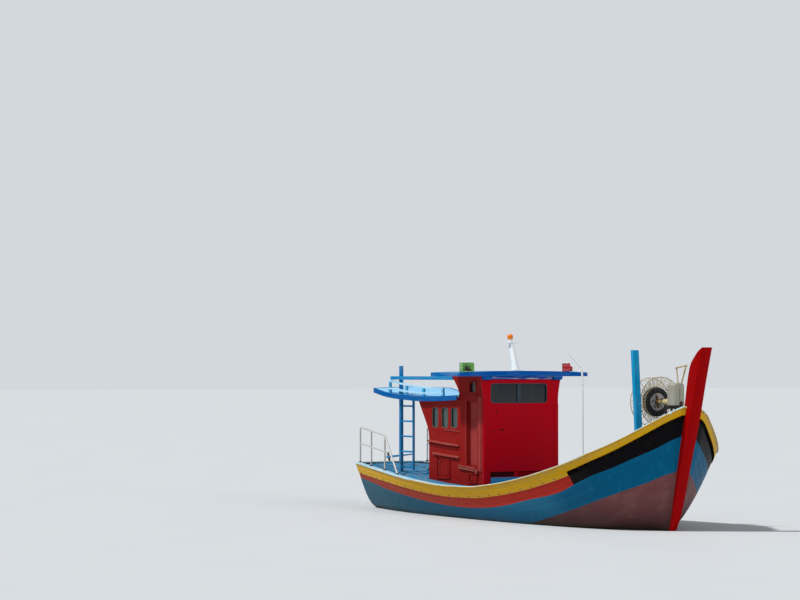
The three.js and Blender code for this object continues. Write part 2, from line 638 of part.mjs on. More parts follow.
// Pipe rails on both quarters: stanchions on the cap, a top and a mid rail, and a brace
const QUARTER = {
  stanchions: [{ x: -5480, top: 1845 }, { x: -4560, top: 1780 }, { x: -3590, top: 1695 }],
  brace: -2840,
  inset: 60,
  r: 15,
  mid: 0.54,
};
for (const { side, s } of SIDES) {
  const at = (x, z) => [x, s * (breadth(x) - QUARTER.inset), z];
  const parts = [];
  const tops = QUARTER.stanchions.map(({ x, top }) => at(x, top));
  const mids = QUARTER.stanchions.map(({ x, top }) => at(x, sheer(x) + (top - sheer(x)) * QUARTER.mid));
  QUARTER.stanchions.forEach(({ x }, i) => {
    parts.push(bar(at(x, sheer(x) + 4), tops[i], QUARTER.r, QUARTER.r, 8));
  });
  for (const line of [tops, mids]) {
    for (let i = 0; i + 1 < line.length; i += 1) {
      parts.push(bar(line[i], line[i + 1], QUARTER.r, QUARTER.r, 8));
    }
  }
  for (const p of tops) parts.push(new THREE.SphereGeometry(QUARTER.r * 1.1, 8, 6).translate(...p));
  const [fx, fy, fz] = tops[2];
  parts.push(bar([fx, fy, fz], at(QUARTER.brace, sheer(QUARTER.brace) + 18), QUARTER.r, QUARTER.r, 8));
  place(named('quarter_rail', side), joined(...parts), 'pipe');
}

// Fish hatches: a coaming and a lid each
const HATCHES = [
  { name: 'aft', x0: -3140, x1: -2440, half: 500, high: 95 },
  { name: 'fore', x0: 1740, x1: 2560, half: 470, high: 150 },
];
for (const h of HATCHES) {
  const floor = (x) => deckAt(x, 0) + 6;
  const side = [
    [h.x0, floor(h.x0)],
    [h.x1, floor(h.x1)],
    [h.x1, floor(h.x1) + h.high],
    [h.x0, floor(h.x0) + h.high],
  ];
  const outer = boardXZ(outlineOf(side), -h.half, h.half);
  const inner = block(h.x0 + 40, h.x1 - 40, -h.half + 40, h.half - 40, 0, 3000);
  place(`hatch_coaming_${h.name}`, cutBy(outer, inner), 'deck');
  const top = (x) => floor(x) + h.high + 6;
  place(`hatch_lid_${h.name}`, boardXZ(outlineOf([
    [h.x0 - 20, top(h.x0 - 20)],
    [h.x1 + 20, top(h.x1 + 20)],
    [h.x1 + 20, top(h.x1 + 20) + 34],
    [h.x0 - 20, top(h.x0 - 20) + 34],
  ]), -h.half - 20, h.half + 20), 'lightBlue');
}

// Tall bitt post on the foredeck
const BITT = { x: 4415, top: 3560, lean: -189, wide: 146, long: 92 };
place('bow_post', (() => {
  const w = BITT.wide / 2;
  const l = BITT.long / 2;
  const ring = (x, z) => [
    new THREE.Vector3(x - l, -w, z),
    new THREE.Vector3(x + l, -w, z),
    new THREE.Vector3(x + l, w, z),
    new THREE.Vector3(x - l, w, z),
  ];
  return loft([
    ring(BITT.x, deckAt(BITT.x + l, 0) + 3),
    ring(BITT.x + BITT.lean, BITT.top),
  ], (p) => new THREE.Vector2(p.x, p.y));
})(), 'lightBlue');

// Net hauler to port of the post: a tyre between two wire hoops on one shaft, turned by a
// gearbox on a stand
const HAULER = { y: 606, z: 2516, drum: 4100, tyreR: 298, tyreWide: 153 };
const HOOPS = { near: { x: 4272, r: 503 }, far: { x: 3901, r: 484 }, wire: 9, spokes: 12 };
const GEARBOX = { x0: 4648, x1: 4923, half: 116, z0: 2450, z1: 2905 };
const HANDLE = { y: 92, feet: [4845, 4738], head: [[5011, 3249], [4687, 3205]] };
place('hauler_drum', (() => {
  const { y, z, drum, tyreR, tyreWide } = HAULER;
  const { near, far } = HOOPS;
  const shaft = GEARBOX.x0 - 8;
  const parts = [
    bar([drum - tyreWide / 2, y, z], [drum + tyreWide / 2, y, z], tyreR, tyreR, 32),
    bar([far.x - 60, y, z], [shaft, y, z], 28, 28, 12),
    bar([drum + 60, y, z], [shaft, y, z], 40, 72, 16),
  ];
  for (const hoop of [near, far]) {
    const ring = new THREE.TorusGeometry(hoop.r, HOOPS.wire, 6, 36);
    parts.push(ring.rotateY(Math.PI / 2).translate(hoop.x, y, z));
  }
  for (let i = 0; i < HOOPS.spokes; i += 1) {
    const a = (i * 2 * Math.PI) / HOOPS.spokes;
    const at = (x, r) => [x, y + Math.cos(a) * r, z + Math.sin(a) * r];
    parts.push(bar(at(far.x, 20), at(far.x, far.r), 7, 7, 6));
    parts.push(bar(at(far.x, far.r), at(near.x, near.r), 7, 7, 6));
    parts.push(bar(at(near.x - 30, 40), at(near.x, near.r), 7, 7, 6));
  }
  return joined(...parts);
})(), 'tyre');
place('hauler_gearbox', (() => {
  const shape = new THREE.Shape();
  const g = GEARBOX;
  shape.moveTo(-g.half, g.z0);
  shape.lineTo(g.half, g.z0);
  shape.lineTo(g.half, g.z1 - 70);
  shape.absarc(g.half - 70, g.z1 - 70, 70, 0, Math.PI / 2);
  shape.lineTo(-g.half + 70, g.z1);
  shape.absarc(-g.half + 70, g.z1 - 70, 70, Math.PI / 2, Math.PI);
  const [fore, aft] = HANDLE.head.map(([x, z]) => [x, HANDLE.y, z]);
  const foot = (x) => [x, HANDLE.y, g.z1 - 30];
  return joined(
    boardYZ(shape, g.x0, g.x1),
    bar(foot(HANDLE.feet[0]), fore, 16, 16, 8),
    bar(fore, aft, 13, 13, 8),
    bar(aft, foot(HANDLE.feet[1]), 12, 12, 8),
  ).translate(0, HAULER.y, 0);
})(), 'beige');
place('hauler_stand', (() => {
  const { x0, x1, z0 } = GEARBOX;
  const { y } = HAULER;
  const parts = [
    block(x0 + 20, x1 - 20, y - 100, y + 100, z0 - 30, z0 - GAP),
    block(x0 - 130, x1 - 20, y - 90, y + 90, z0 - 70, z0 - 20),
  ];
  for (const x of [x0 - 100, x1 - 60]) {
    for (const s of [-1, 1]) {
      const foot = deckAt(x - 30, y + s * 150) + 32;
      parts.push(bar([x - 30, y + s * 150, foot], [x, y + s * 66, z0 - 50], 24, 24, 8));
      parts.push(block(x - 90, x + 30, y + s * 150 - 50, y + s * 150 + 50, foot - 4, foot + 12));
    }
  }
  return joined(...parts);
})(), 'iron');

// Roof gear
const roofTop = (y) => ROOF.under + ROOF.edge + ROOF.crown * (1 - (y / ROOF.half) ** 2);
const MAST = { x: -223, foot: 84, head: 50, top: 3742, lean: -180, sides: 16, lamp: -440 };
const mastHead = MAST.x + MAST.lean;
const mastRing = (x, r, z) => Array.from({ length: MAST.sides }, (_, i) => {
  const a = (i * 2 * Math.PI) / MAST.sides;
  return new THREE.Vector3(x + Math.cos(a) * r, Math.sin(a) * r, z);
});
place('mast', joined(
  block(MAST.x - 130, MAST.x + 130, -130, 130, roofTop(0) + 3, roofTop(0) + 20),
  loft([
    mastRing(MAST.x, MAST.foot, roofTop(0) + 15),
    mastRing(mastHead, MAST.head, MAST.top),
  ], (p) => new THREE.Vector2(p.x, p.y)),
  block(mastHead - 85, mastHead + 50, -120, 120, MAST.top - 5, MAST.top + 18),
), 'white');
place('beacon', joined(
  bar([MAST.lamp, 0, MAST.top + 18.5], [MAST.lamp, 0, MAST.top + 88], 46, 46, 18),
  bar([MAST.lamp, 0, MAST.top + 80], [MAST.lamp, 0, 3942], 62, 54, 18),
), 'amber');

// Side lights in screens that are open forward and outboard
const SIDELIGHT = { y: 1330, wide: 300, deep: 190, high: 200 };
for (const { side, s } of SIDES) {
  const { y, wide, deep, high } = SIDELIGHT;
  const foot = roofTop(y - deep / 2) + 3;
  const x = s < 0 ? -60 : -120;
  const inner = y - deep / 2;
  place(named('sidelight', side), joined(
    block(x - wide / 2, x + wide / 2, s * inner, s * (inner + 20), foot, foot + high),
    block(x - wide / 2, x - wide / 2 + 20, s * inner, s * (y + deep / 2), foot, foot + high),
    block(x - wide / 2, x + wide / 2, s * inner, s * (y + deep / 2), foot, foot + 20),
    bar([x, s * y, foot + 15], [x, s * y, foot + high * 0.7], 55, 55, 14),
  ), s < 0 ? 'green' : 'lampRed');
}

// Flag staff on a thin pole that stands on the deck beside the port corner of the roof
const STAFF = { x: 110, y: 1480 };
const poleFoot = deckAt(STAFF.x, STAFF.y + 20) + 6;
place('flag_staff', joined(
  bar([STAFF.x + 45, STAFF.y + 20, poleFoot], [STAFF.x + 74, STAFF.y, 2850], 11, 11, 8),
  bar([STAFF.x + 74, STAFF.y, 2840], [STAFF.x + 42, STAFF.y - 20, 3215], 20, 20, 8),
  bar([STAFF.x + 45, STAFF.y - 16, 3208], [STAFF.x - 120, STAFF.y - 260, 3535], 20, 13, 8),
), 'white');

export default boat;
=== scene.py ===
"""Looks of a decked wooden fishing boat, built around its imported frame.

Metres throughout. +X is forward, +Y to port, +Z up, and the waterline lies at z = 0.
"""

from __future__ import annotations

import json
import logging
import math
from dataclasses import dataclass
from enum import Enum
from itertools import groupby
from typing import Iterable, Mapping, Sequence, Union

import bmesh
import bpy
import numpy as np
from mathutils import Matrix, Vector
from mathutils.geometry import tessellate_polygon

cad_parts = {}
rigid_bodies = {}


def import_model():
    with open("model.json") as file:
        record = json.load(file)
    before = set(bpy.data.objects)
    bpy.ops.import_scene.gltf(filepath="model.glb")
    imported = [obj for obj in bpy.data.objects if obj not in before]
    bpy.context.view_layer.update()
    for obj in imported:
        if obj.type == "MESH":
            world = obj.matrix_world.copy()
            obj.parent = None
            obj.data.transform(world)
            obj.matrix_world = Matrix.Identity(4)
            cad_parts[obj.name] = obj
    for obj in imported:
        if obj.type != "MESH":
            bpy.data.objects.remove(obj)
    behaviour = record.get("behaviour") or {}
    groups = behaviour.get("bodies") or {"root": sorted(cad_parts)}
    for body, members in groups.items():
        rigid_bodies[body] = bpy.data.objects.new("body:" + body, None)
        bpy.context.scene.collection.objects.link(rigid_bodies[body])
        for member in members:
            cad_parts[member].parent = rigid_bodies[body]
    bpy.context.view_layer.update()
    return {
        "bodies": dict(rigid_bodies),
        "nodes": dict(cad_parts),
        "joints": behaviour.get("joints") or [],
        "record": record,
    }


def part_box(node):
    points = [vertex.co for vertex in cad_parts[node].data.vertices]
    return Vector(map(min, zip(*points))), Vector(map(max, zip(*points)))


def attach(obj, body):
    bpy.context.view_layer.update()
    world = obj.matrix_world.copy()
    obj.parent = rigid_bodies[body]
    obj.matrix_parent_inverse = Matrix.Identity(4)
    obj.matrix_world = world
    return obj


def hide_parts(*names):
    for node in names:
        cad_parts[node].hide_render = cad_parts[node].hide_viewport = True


LOG = logging.getLogger("boat")
Vec = tuple[float, float, float]
Pair = tuple[float, float]
Line = Sequence[Sequence[float]]
SIDES: dict[str, int] = {"starboard": -1, "port": 1}
BOAT = "boat"


def linear(shade: str) -> tuple[float, ...]:
    """Turns a display shade of six hexadecimal digits into a linear colour."""
    low = [int(shade[n : n + 2], 16) / 255 for n in (0, 2, 4)]
    return (*[v / 12.92 if v <= 0.04045 else ((v + 0.055) / 1.055) ** 2.4 for v in low], 1.0)


class Signal:
    """A shader socket that Python arithmetic works on."""

    def __init__(self, recipe: "Recipe", socket: bpy.types.NodeSocket) -> None:
        """Keeps the recipe that the socket belongs to."""
        self.recipe, self.socket = recipe, socket

    def _maths(self, operation: str, *values: "Number") -> "Signal":
        """Adds a Math node for an operation on numbers or signals."""
        return self.recipe.node("ShaderNodeMath", {"operation": operation}, dict(enumerate(values)))

    def __add__(self, other: "Number") -> "Signal":
        """Sum."""
        return self._maths("ADD", self, other)

    def __sub__(self, other: "Number") -> "Signal":
        """Difference."""
        return self._maths("SUBTRACT", self, other)

    def __rsub__(self, other: "Number") -> "Signal":
        """Difference from a number."""
        return self._maths("SUBTRACT", other, self)

    def __mul__(self, other: "Number") -> "Signal":
        """Product."""
        return self._maths("MULTIPLY", self, other)

    def __truediv__(self, other: "Number") -> "Signal":
        """Quotient."""
        return self._maths("DIVIDE", self, other)

    __radd__ = __add__
    __rmul__ = __mul__

    def least(self, other: "Number") -> "Signal":
        """The smaller of the two."""
        return self._maths("MINIMUM", self, other)

    def whole(self) -> "Signal":
        """The whole number at or below the value."""
        return self._maths("FLOOR", self)

    def part(self) -> "Signal":
        """What is left above the whole number."""
        return self._maths("FRACT", self)

    def size(self) -> "Signal":
        """The value without its sign."""
        return self._maths("ABSOLUTE", self)

    def step(self, low: "Number", high: "Number") -> "Signal":
        """Goes smoothly from 0 at low to 1 at high."""
        ends = {"Value": self, "From Min": low, "From Max": high}
        return self.recipe.node("ShaderNodeMapRange", {"interpolation_type": "SMOOTHSTEP"}, ends)


Number = Union[float, Signal]
Shade = Union[str, Signal]


class Recipe:
    """The node tree of one material."""

    def __init__(self, name: str) -> None:
        """Starts an empty tree with the position on the boat as its first node."""
        self.material = bpy.data.materials.new(name)
        self.material.use_nodes = True
        self.tree = self.material.node_tree
        self.tree.nodes.clear()
        self.spot = self.node("ShaderNodeTexCoord", output="Object")

    def node(
        self,
        kind: str,
        settings: Mapping[str, object] | None = None,
        inputs: Mapping[Union[int, str], object] | None = None,
        output: Union[int, str] = 0,
    ) -> Signal:
        """Adds a node.

        Args:
            kind: The node's type.
            settings: Its properties. "points" fills a float curve.
            inputs: Values, shades or signals by socket name or number.
            output: The socket that the result stands for.

        Returns:
            The output as a signal.
        """
        made = self.tree.nodes.new(kind)
        for key, value in (settings or {}).items():
            if key == "points":
                curve = made.mapping.curves[0]
                while len(curve.points) < len(value):
                    curve.points.new(0.5, 0.5)
                for point, place in zip(curve.points, value):
                    point.location = place
                made.mapping.update()
            else:
                setattr(made, key, value)
        for key, value in (inputs or {}).items():
            if isinstance(value, Signal):
                self.tree.links.new(value.socket, made.inputs[key])
            else:
                made.inputs[key].default_value = linear(value) if isinstance(value, str) else value
        return Signal(self, made.outputs[output])

    def axes(self) -> tuple[Signal, Signal, Signal]:
        """Place along, across and up the boat."""
        split = self.tree.nodes.new("ShaderNodeSeparateXYZ")
        self.tree.links.new(self.spot.socket, split.inputs[0])
        return tuple(Signal(self, split.outputs[n]) for n in range(3))

    def noise(self, scale: float, detail: float = 4.0, stretch: Vec = (1, 1, 1), seed: float = 0.0) -> Signal:
        """Cloudy noise about 0.5, drawn out along the axes with a small stretch."""
        move = {0: self.spot, 1: stretch, 2: (seed, seed * 0.7, seed * 1.3)}
        at = self.node("ShaderNodeVectorMath", {"operation": "MULTIPLY_ADD"}, move)
        return self.node("ShaderNodeTexNoise", {}, {"Vector": at, "Scale": scale, "Detail": detail})

    def blend(self, first: Shade, second: Shade, share: Number, mode: str = "MIX") -> Signal:
        """Mixes two colours by a share from 0 to 1."""
        settings = {"data_type": "RGBA", "blend_type": mode, "clamp_factor": True}
        return self.node("ShaderNodeMix", settings, {0: share, 6: first, 7: second}, output=2)

    def line(self, points: Sequence[Pair], along: Signal, low: Pair, high: Pair) -> Signal:
        """Height of a line drawn over the length of the boat.

        Args:
            points: The line's points, place along and height.
            along: The place along the boat.
            low: Least place and height that the line can take.
            high: Most place and height that it can take.

        Returns:
            The height of the line at each place.
        """
        span, rise = high[0] - low[0], high[1] - low[1]
        scaled = [((x - low[0]) / span, (z - low[1]) / rise) for x, z in points]
        drawn = self.node("ShaderNodeFloatCurve", {"points": scaled}, {"Value": (along - low[0]) / span})
        return drawn * rise + low[1]

    def edges(self, low: float = 0.515, high: float = 0.57) -> Signal:
        """1 on outer edges, where paint wears first."""
        return self.node("ShaderNodeNewGeometry", output="Pointiness").step(low, high)

    def bump(self, height: Signal, depth: float, strength: float = 1.0) -> Signal:
        """Surface relief from a height in shares of a depth in metres."""
        return self.node("ShaderNodeBump", {}, {"Height": height, "Distance": depth, "Strength": strength})

    def surface(self, sockets: Mapping[str, object]) -> bpy.types.Material:
        """Ends the tree in one shader with these sockets."""
        shader = self.node("ShaderNodeBsdfPrincipled", {}, sockets)
        out = self.tree.nodes.new("ShaderNodeOutputMaterial")
        self.tree.links.new(shader.socket, out.inputs["Surface"])
        return self.material


class Grain(Enum):
    """Which way the boards of a piece run."""

    FORE_AFT = (0.06, 1.0, 1.0)
    ATHWART = (1.0, 0.06, 1.0)
    UPRIGHT = (1.0, 1.0, 0.06)


class Finish:
    """What a surface is covered with."""

    def make(self, name: str) -> bpy.types.Material:
        """Builds the material under a name."""
        recipe = Recipe(name)
        return recipe.surface(self.sockets(recipe))

    def sockets(self, r: Recipe) -> dict[str, object]:
        """Builds the signals of the shader's sockets.

        Args:
            r: The recipe that they are added to.

        Returns:
            Values and signals by the socket's name.
        """
        raise NotImplementedError


@dataclass(frozen=True)
class OilPaint(Finish):
    """Brushed paint on timber, faded in patches, dirty in streaks and worn on its edges."""

    colour: str
    faded: str
    bare: str = "c4beac"
    grain: Grain = Grain.FORE_AFT
    rough: float = 0.42
    fade: float = 0.45
    grime: float = 0.35
    chips: float = 0.5
    boards: float = 0.0
    across: int = 1
    sheen: float = 0.1
    scuffs: tuple[tuple[float, float, float, float], ...] = ()

    def sockets(self, r: Recipe) -> dict[str, object]:
        """Fades and dirties the paint, then wears it through."""
        axes = r.axes()
        broad = r.noise(1.7, 4.0, seed=3.0)
        patch = r.noise(6.5, 5.0, seed=11.0)
        brush = r.noise(75.0, 3.0, self.grain.value)
        streak = r.noise(17.0, 4.0, (1.0, 1.0, 0.09), seed=5.0)
        tone = r.blend(self.colour, self.faded, (broad * 0.7 + patch * 0.3).step(0.4, 0.66) * self.fade)
        dirt = streak.step(0.54, 0.78) * self.grime
        tone = r.blend(tone, "3a2c22", dirt * 0.4)
        tone = r.blend(tone, self.faded, brush.step(0.5, 0.8) * 0.08)
        flake = r.noise(38.0, 7.0, self.grain.value, seed=7.0)
        chip = (patch.step(0.57, 0.7) * flake.step(0.62, 0.67)) * self.chips
        worn = (r.edges() * flake.step(0.44, 0.6) * self.chips + chip).least(1.0)
        tone = r.blend(tone, self.bare, worn)
        for y, z, wide, high in self.scuffs:
            far = ((axes[1] - y) / wide).size() + ((axes[2] - z) / high).size()
            tone = r.blend(tone, "341214", (1 - (far + (flake - 0.5) * 3.2).step(0.5, 1.0)) * 0.8)
        height = brush * 0.25 - worn * 0.5
        if self.boards:
            seam = ((axes[self.across] / self.boards).part() - 0.5).size().step(0.485, 0.5)
            tone = r.blend(tone, "1a1816", seam * 0.6)
            height = height - seam * 2.0
        return {
            "Base Color": tone,
            "Roughness": self.rough + dirt * 0.25 + worn * 0.25 + (brush - 0.5) * 0.16,
            "Specular IOR Level": self.sheen,
            "Normal": r.bump(height, 0.0012, 0.8),
        }


@dataclass(frozen=True)
class TopsidePaint(Finish):
    """Bands of paint on the planking: stripe and bow panel, topsides and bottom."""

    stripe: str = "a8281c"
    stripe_aft: str = "963826"
    panel: str = "0b080b"
    topside: str = "005478"
    # Lighter blue midships: painted light where the topsides are lit.
    topside_mid_lit: str = "28708e"
    # Darker blue aft: painted shade where the flared quarters get less light, also the tone of faded patches.
    topside_aft_worn_and_shaded: str = "164c60"
    bottom: str = "6a4042"
    stripe_foot: tuple[Pair, ...] = (
        (-6.1, 0.7), (-5.2, 0.664), (-4.48, 0.597), (-3.66, 0.507), (-2.21, 0.37), (-0.91, 0.279),
        (0.31, 0.26), (1.46, 0.341), (2.54, 0.515), (3.64, 0.706), (4.128, 0.868), (4.965, 1.183),
        (5.435, 1.459), (5.783, 1.697), (5.911, 1.831), (6.3, 2.18),
    )
    bottom_top: tuple[Pair, ...] = (
        (-6.1, 0.1), (-5.2, 0.04), (-4.0, -0.06), (-2.0, -0.12), (1.4, -0.12), (2.217, 0.016), (3.275, 0.239),
        (4.181, 0.467), (4.762, 0.647), (5.082, 0.786), (5.464, 0.976), (5.734, 1.147), (6.3, 1.52),
    )
    panel_aft: float = 4.17

    def sockets(self, r: Recipe) -> dict[str, object]:
        """Paints the bands with a painted light band midships and painted shade towards the stern and the
        water, then stains them towards the water and the stern.
        """
        x, _, z = r.axes()
        box = ((-6.3, -0.7), (6.5, 2.6))
        wave = (r.noise(9.0, 4.0, seed=2.0) - 0.5) * 0.016
        strake = r.node("ShaderNodeAttribute", {"attribute_name": "strake"}, output="Fac")
        seam = 1 - ((strake.part() - 0.5).size() - 0.5).size().step(0.008, 0.03)
        each = {"W": strake.whole() * 3.7 + 1.3}
        tone_of_plank = r.node("ShaderNodeTexWhiteNoise", {"noise_dimensions": "1D"}, each)
        broad = r.noise(1.1, 4.0, (0.5, 1, 1), seed=4.0)
        patch = r.noise(5.0, 6.0, (0.5, 1, 1), seed=8.0)
        fine = r.noise(60.0, 4.0, (0.08, 1, 1), seed=1.0)
        streak = r.noise(13.0, 5.0, (1, 1, 0.08), seed=6.0)
        aft = 1 - x.step(-4.5, 3.2)

        worn_blue = (patch * 0.6 + broad * 0.4).step(0.42, 0.62) * (0.15 + aft * 0.45)
        # Midships band: painted light, a lighter blue where the topsides are lit.
        middle = (1 - x.step(3.0, 3.9)) * x.step(-0.6, 1.6) * z.step(0.1, 0.45)
        # Towards the stern: painted shade, a darker blue, mixed with faded patches.
        blue = r.blend(self.topside, self.topside_aft_worn_and_shaded, (aft * 0.8 + worn_blue * 0.4).least(1.0))
        blue = r.blend(blue, self.topside_mid_lit, middle * 0.6)
        blue = r.blend(blue, "047096", streak.step(0.5, 0.7) * 0.3)
        blue = r.blend(blue, "547a84", worn_blue * aft * 0.5)
        red = r.blend(self.stripe, self.stripe_aft, aft)
        red = r.blend(red, "aa543c", patch.step(0.5, 0.72) * (0.05 + aft * 0.35))
        black = r.blend(self.panel, "2c201e", patch.step(0.6, 0.78) * 0.25)
        brown = r.blend(self.bottom, "78504e", patch.step(0.42, 0.66) * 0.5)
        # Darker towards the water: partly wet paint, partly painted shade of the hull's shadow near the
        # water.
        brown = r.blend(brown, "281a19", (1 - z.step(-0.05, 0.7)) * 0.8)

        lower_line = r.line(self.bottom_top, x, *box) + wave
        upper_line = r.line(self.stripe_foot, x, *box) + wave * 0.5
        tone = r.blend(brown, blue, (z - lower_line).step(-0.006, 0.006))
        in_panel = (x + (z - 1.0) * 0.12 - self.panel_aft).step(-0.004, 0.004)
        tone = r.blend(tone, r.blend(red, black, in_panel), (z - upper_line).step(-0.004, 0.004))

        stain = (streak.step(0.55, 0.8) * (1 - z.step(0.1, 1.3))) * 0.5
        tone = r.blend(tone, "463a2e", stain)
        slime = (1 - (z + (patch - 0.5) * 0.12).step(0.0, 0.12)) * 0.75
        tone = r.blend(tone, "303428", slime)
        flakes = patch.step(0.56, 0.68) * r.noise(30.0, 7.0, (0.15, 1, 1), seed=9.0).step(0.6, 0.66)
        tone = r.blend(tone, "96968c", flakes * (0.06 + aft * 0.35))
        tone = r.blend(tone, "101212", seam * 0.07)
        tone = r.blend(tone, "ffffff", (tone_of_plank - 0.5) * 0.06 + 0.03, "OVERLAY")
        return {
            "Base Color": tone,
            "Roughness": 0.4 + worn_blue * 0.25 + slime * 0.2 + flakes * 0.2,
            "Specular IOR Level": 0.04,
            "Normal": r.bump(fine * 0.4 - flakes * 0.4 - seam * 0.25, 0.0012, 0.7),
        }


@dataclass(frozen=True)
class Metal(Finish):
    """Bare, rusty or painted metal."""

    colour: str
    rust: str = "683a20"
    metallic: float = 0.9
    rough: float = 0.4
    rusty: float = 0.4

    def sockets(self, r: Recipe) -> dict[str, object]:
        """Rusts the metal in patches and on its edges."""
        patch = r.noise(14.0, 7.0, seed=2.0)
        fine = r.noise(150.0, 3.0)
        spot = (patch.step(0.5, 0.68) + r.edges() * 0.5).least(1.0) * self.rusty
        tone = r.blend(self.colour, self.rust, spot)
        return {
            "Base Color": r.blend(tone, "28221e", fine.step(0.55, 0.8) * 0.25),
            "Metallic": self.metallic - spot * self.metallic,
            "Roughness": self.rough + spot * 0.4,
            "Normal": r.bump(fine * 0.5 + patch, 0.0006, 0.6),
        }


@dataclass(frozen=True)
class Glass(Finish):
    """Dusty window or lamp glass over a dark space."""

    colour: str
    dust: str = "82847c"
    rough: float = 0.06
    dusty: float = 0.35

    def sockets(self, r: Recipe) -> dict[str, object]:
        """Dusts the glass."""
        film = r.noise(5.0, 6.0, (1, 1, 0.3), seed=4.0).step(0.45, 0.8) * self.dusty
        tone = r.blend(self.colour, self.dust, film * 0.4)
        return {"Base Color": tone, "Roughness": self.rough + film * 0.5, "IOR": 1.5}


@dataclass(frozen=True)
class Rubber(Finish):
    """Old black rubber with dust in its low places."""

    colour: str = "161617"

    def sockets(self, r: Recipe) -> dict[str, object]:
        """Dusts the rubber."""
        patch = r.noise(9.0, 6.0, seed=6.0)
        tone = r.blend(self.colour, "60584c", patch.step(0.48, 0.75) * 0.35)
        relief = r.bump(r.noise(180.0, 2.0), 0.0006, 0.5)
        return {"Base Color": tone, "Roughness": 0.7 + patch * 0.2, "Normal": relief}


BARE_WOOD = "968468"
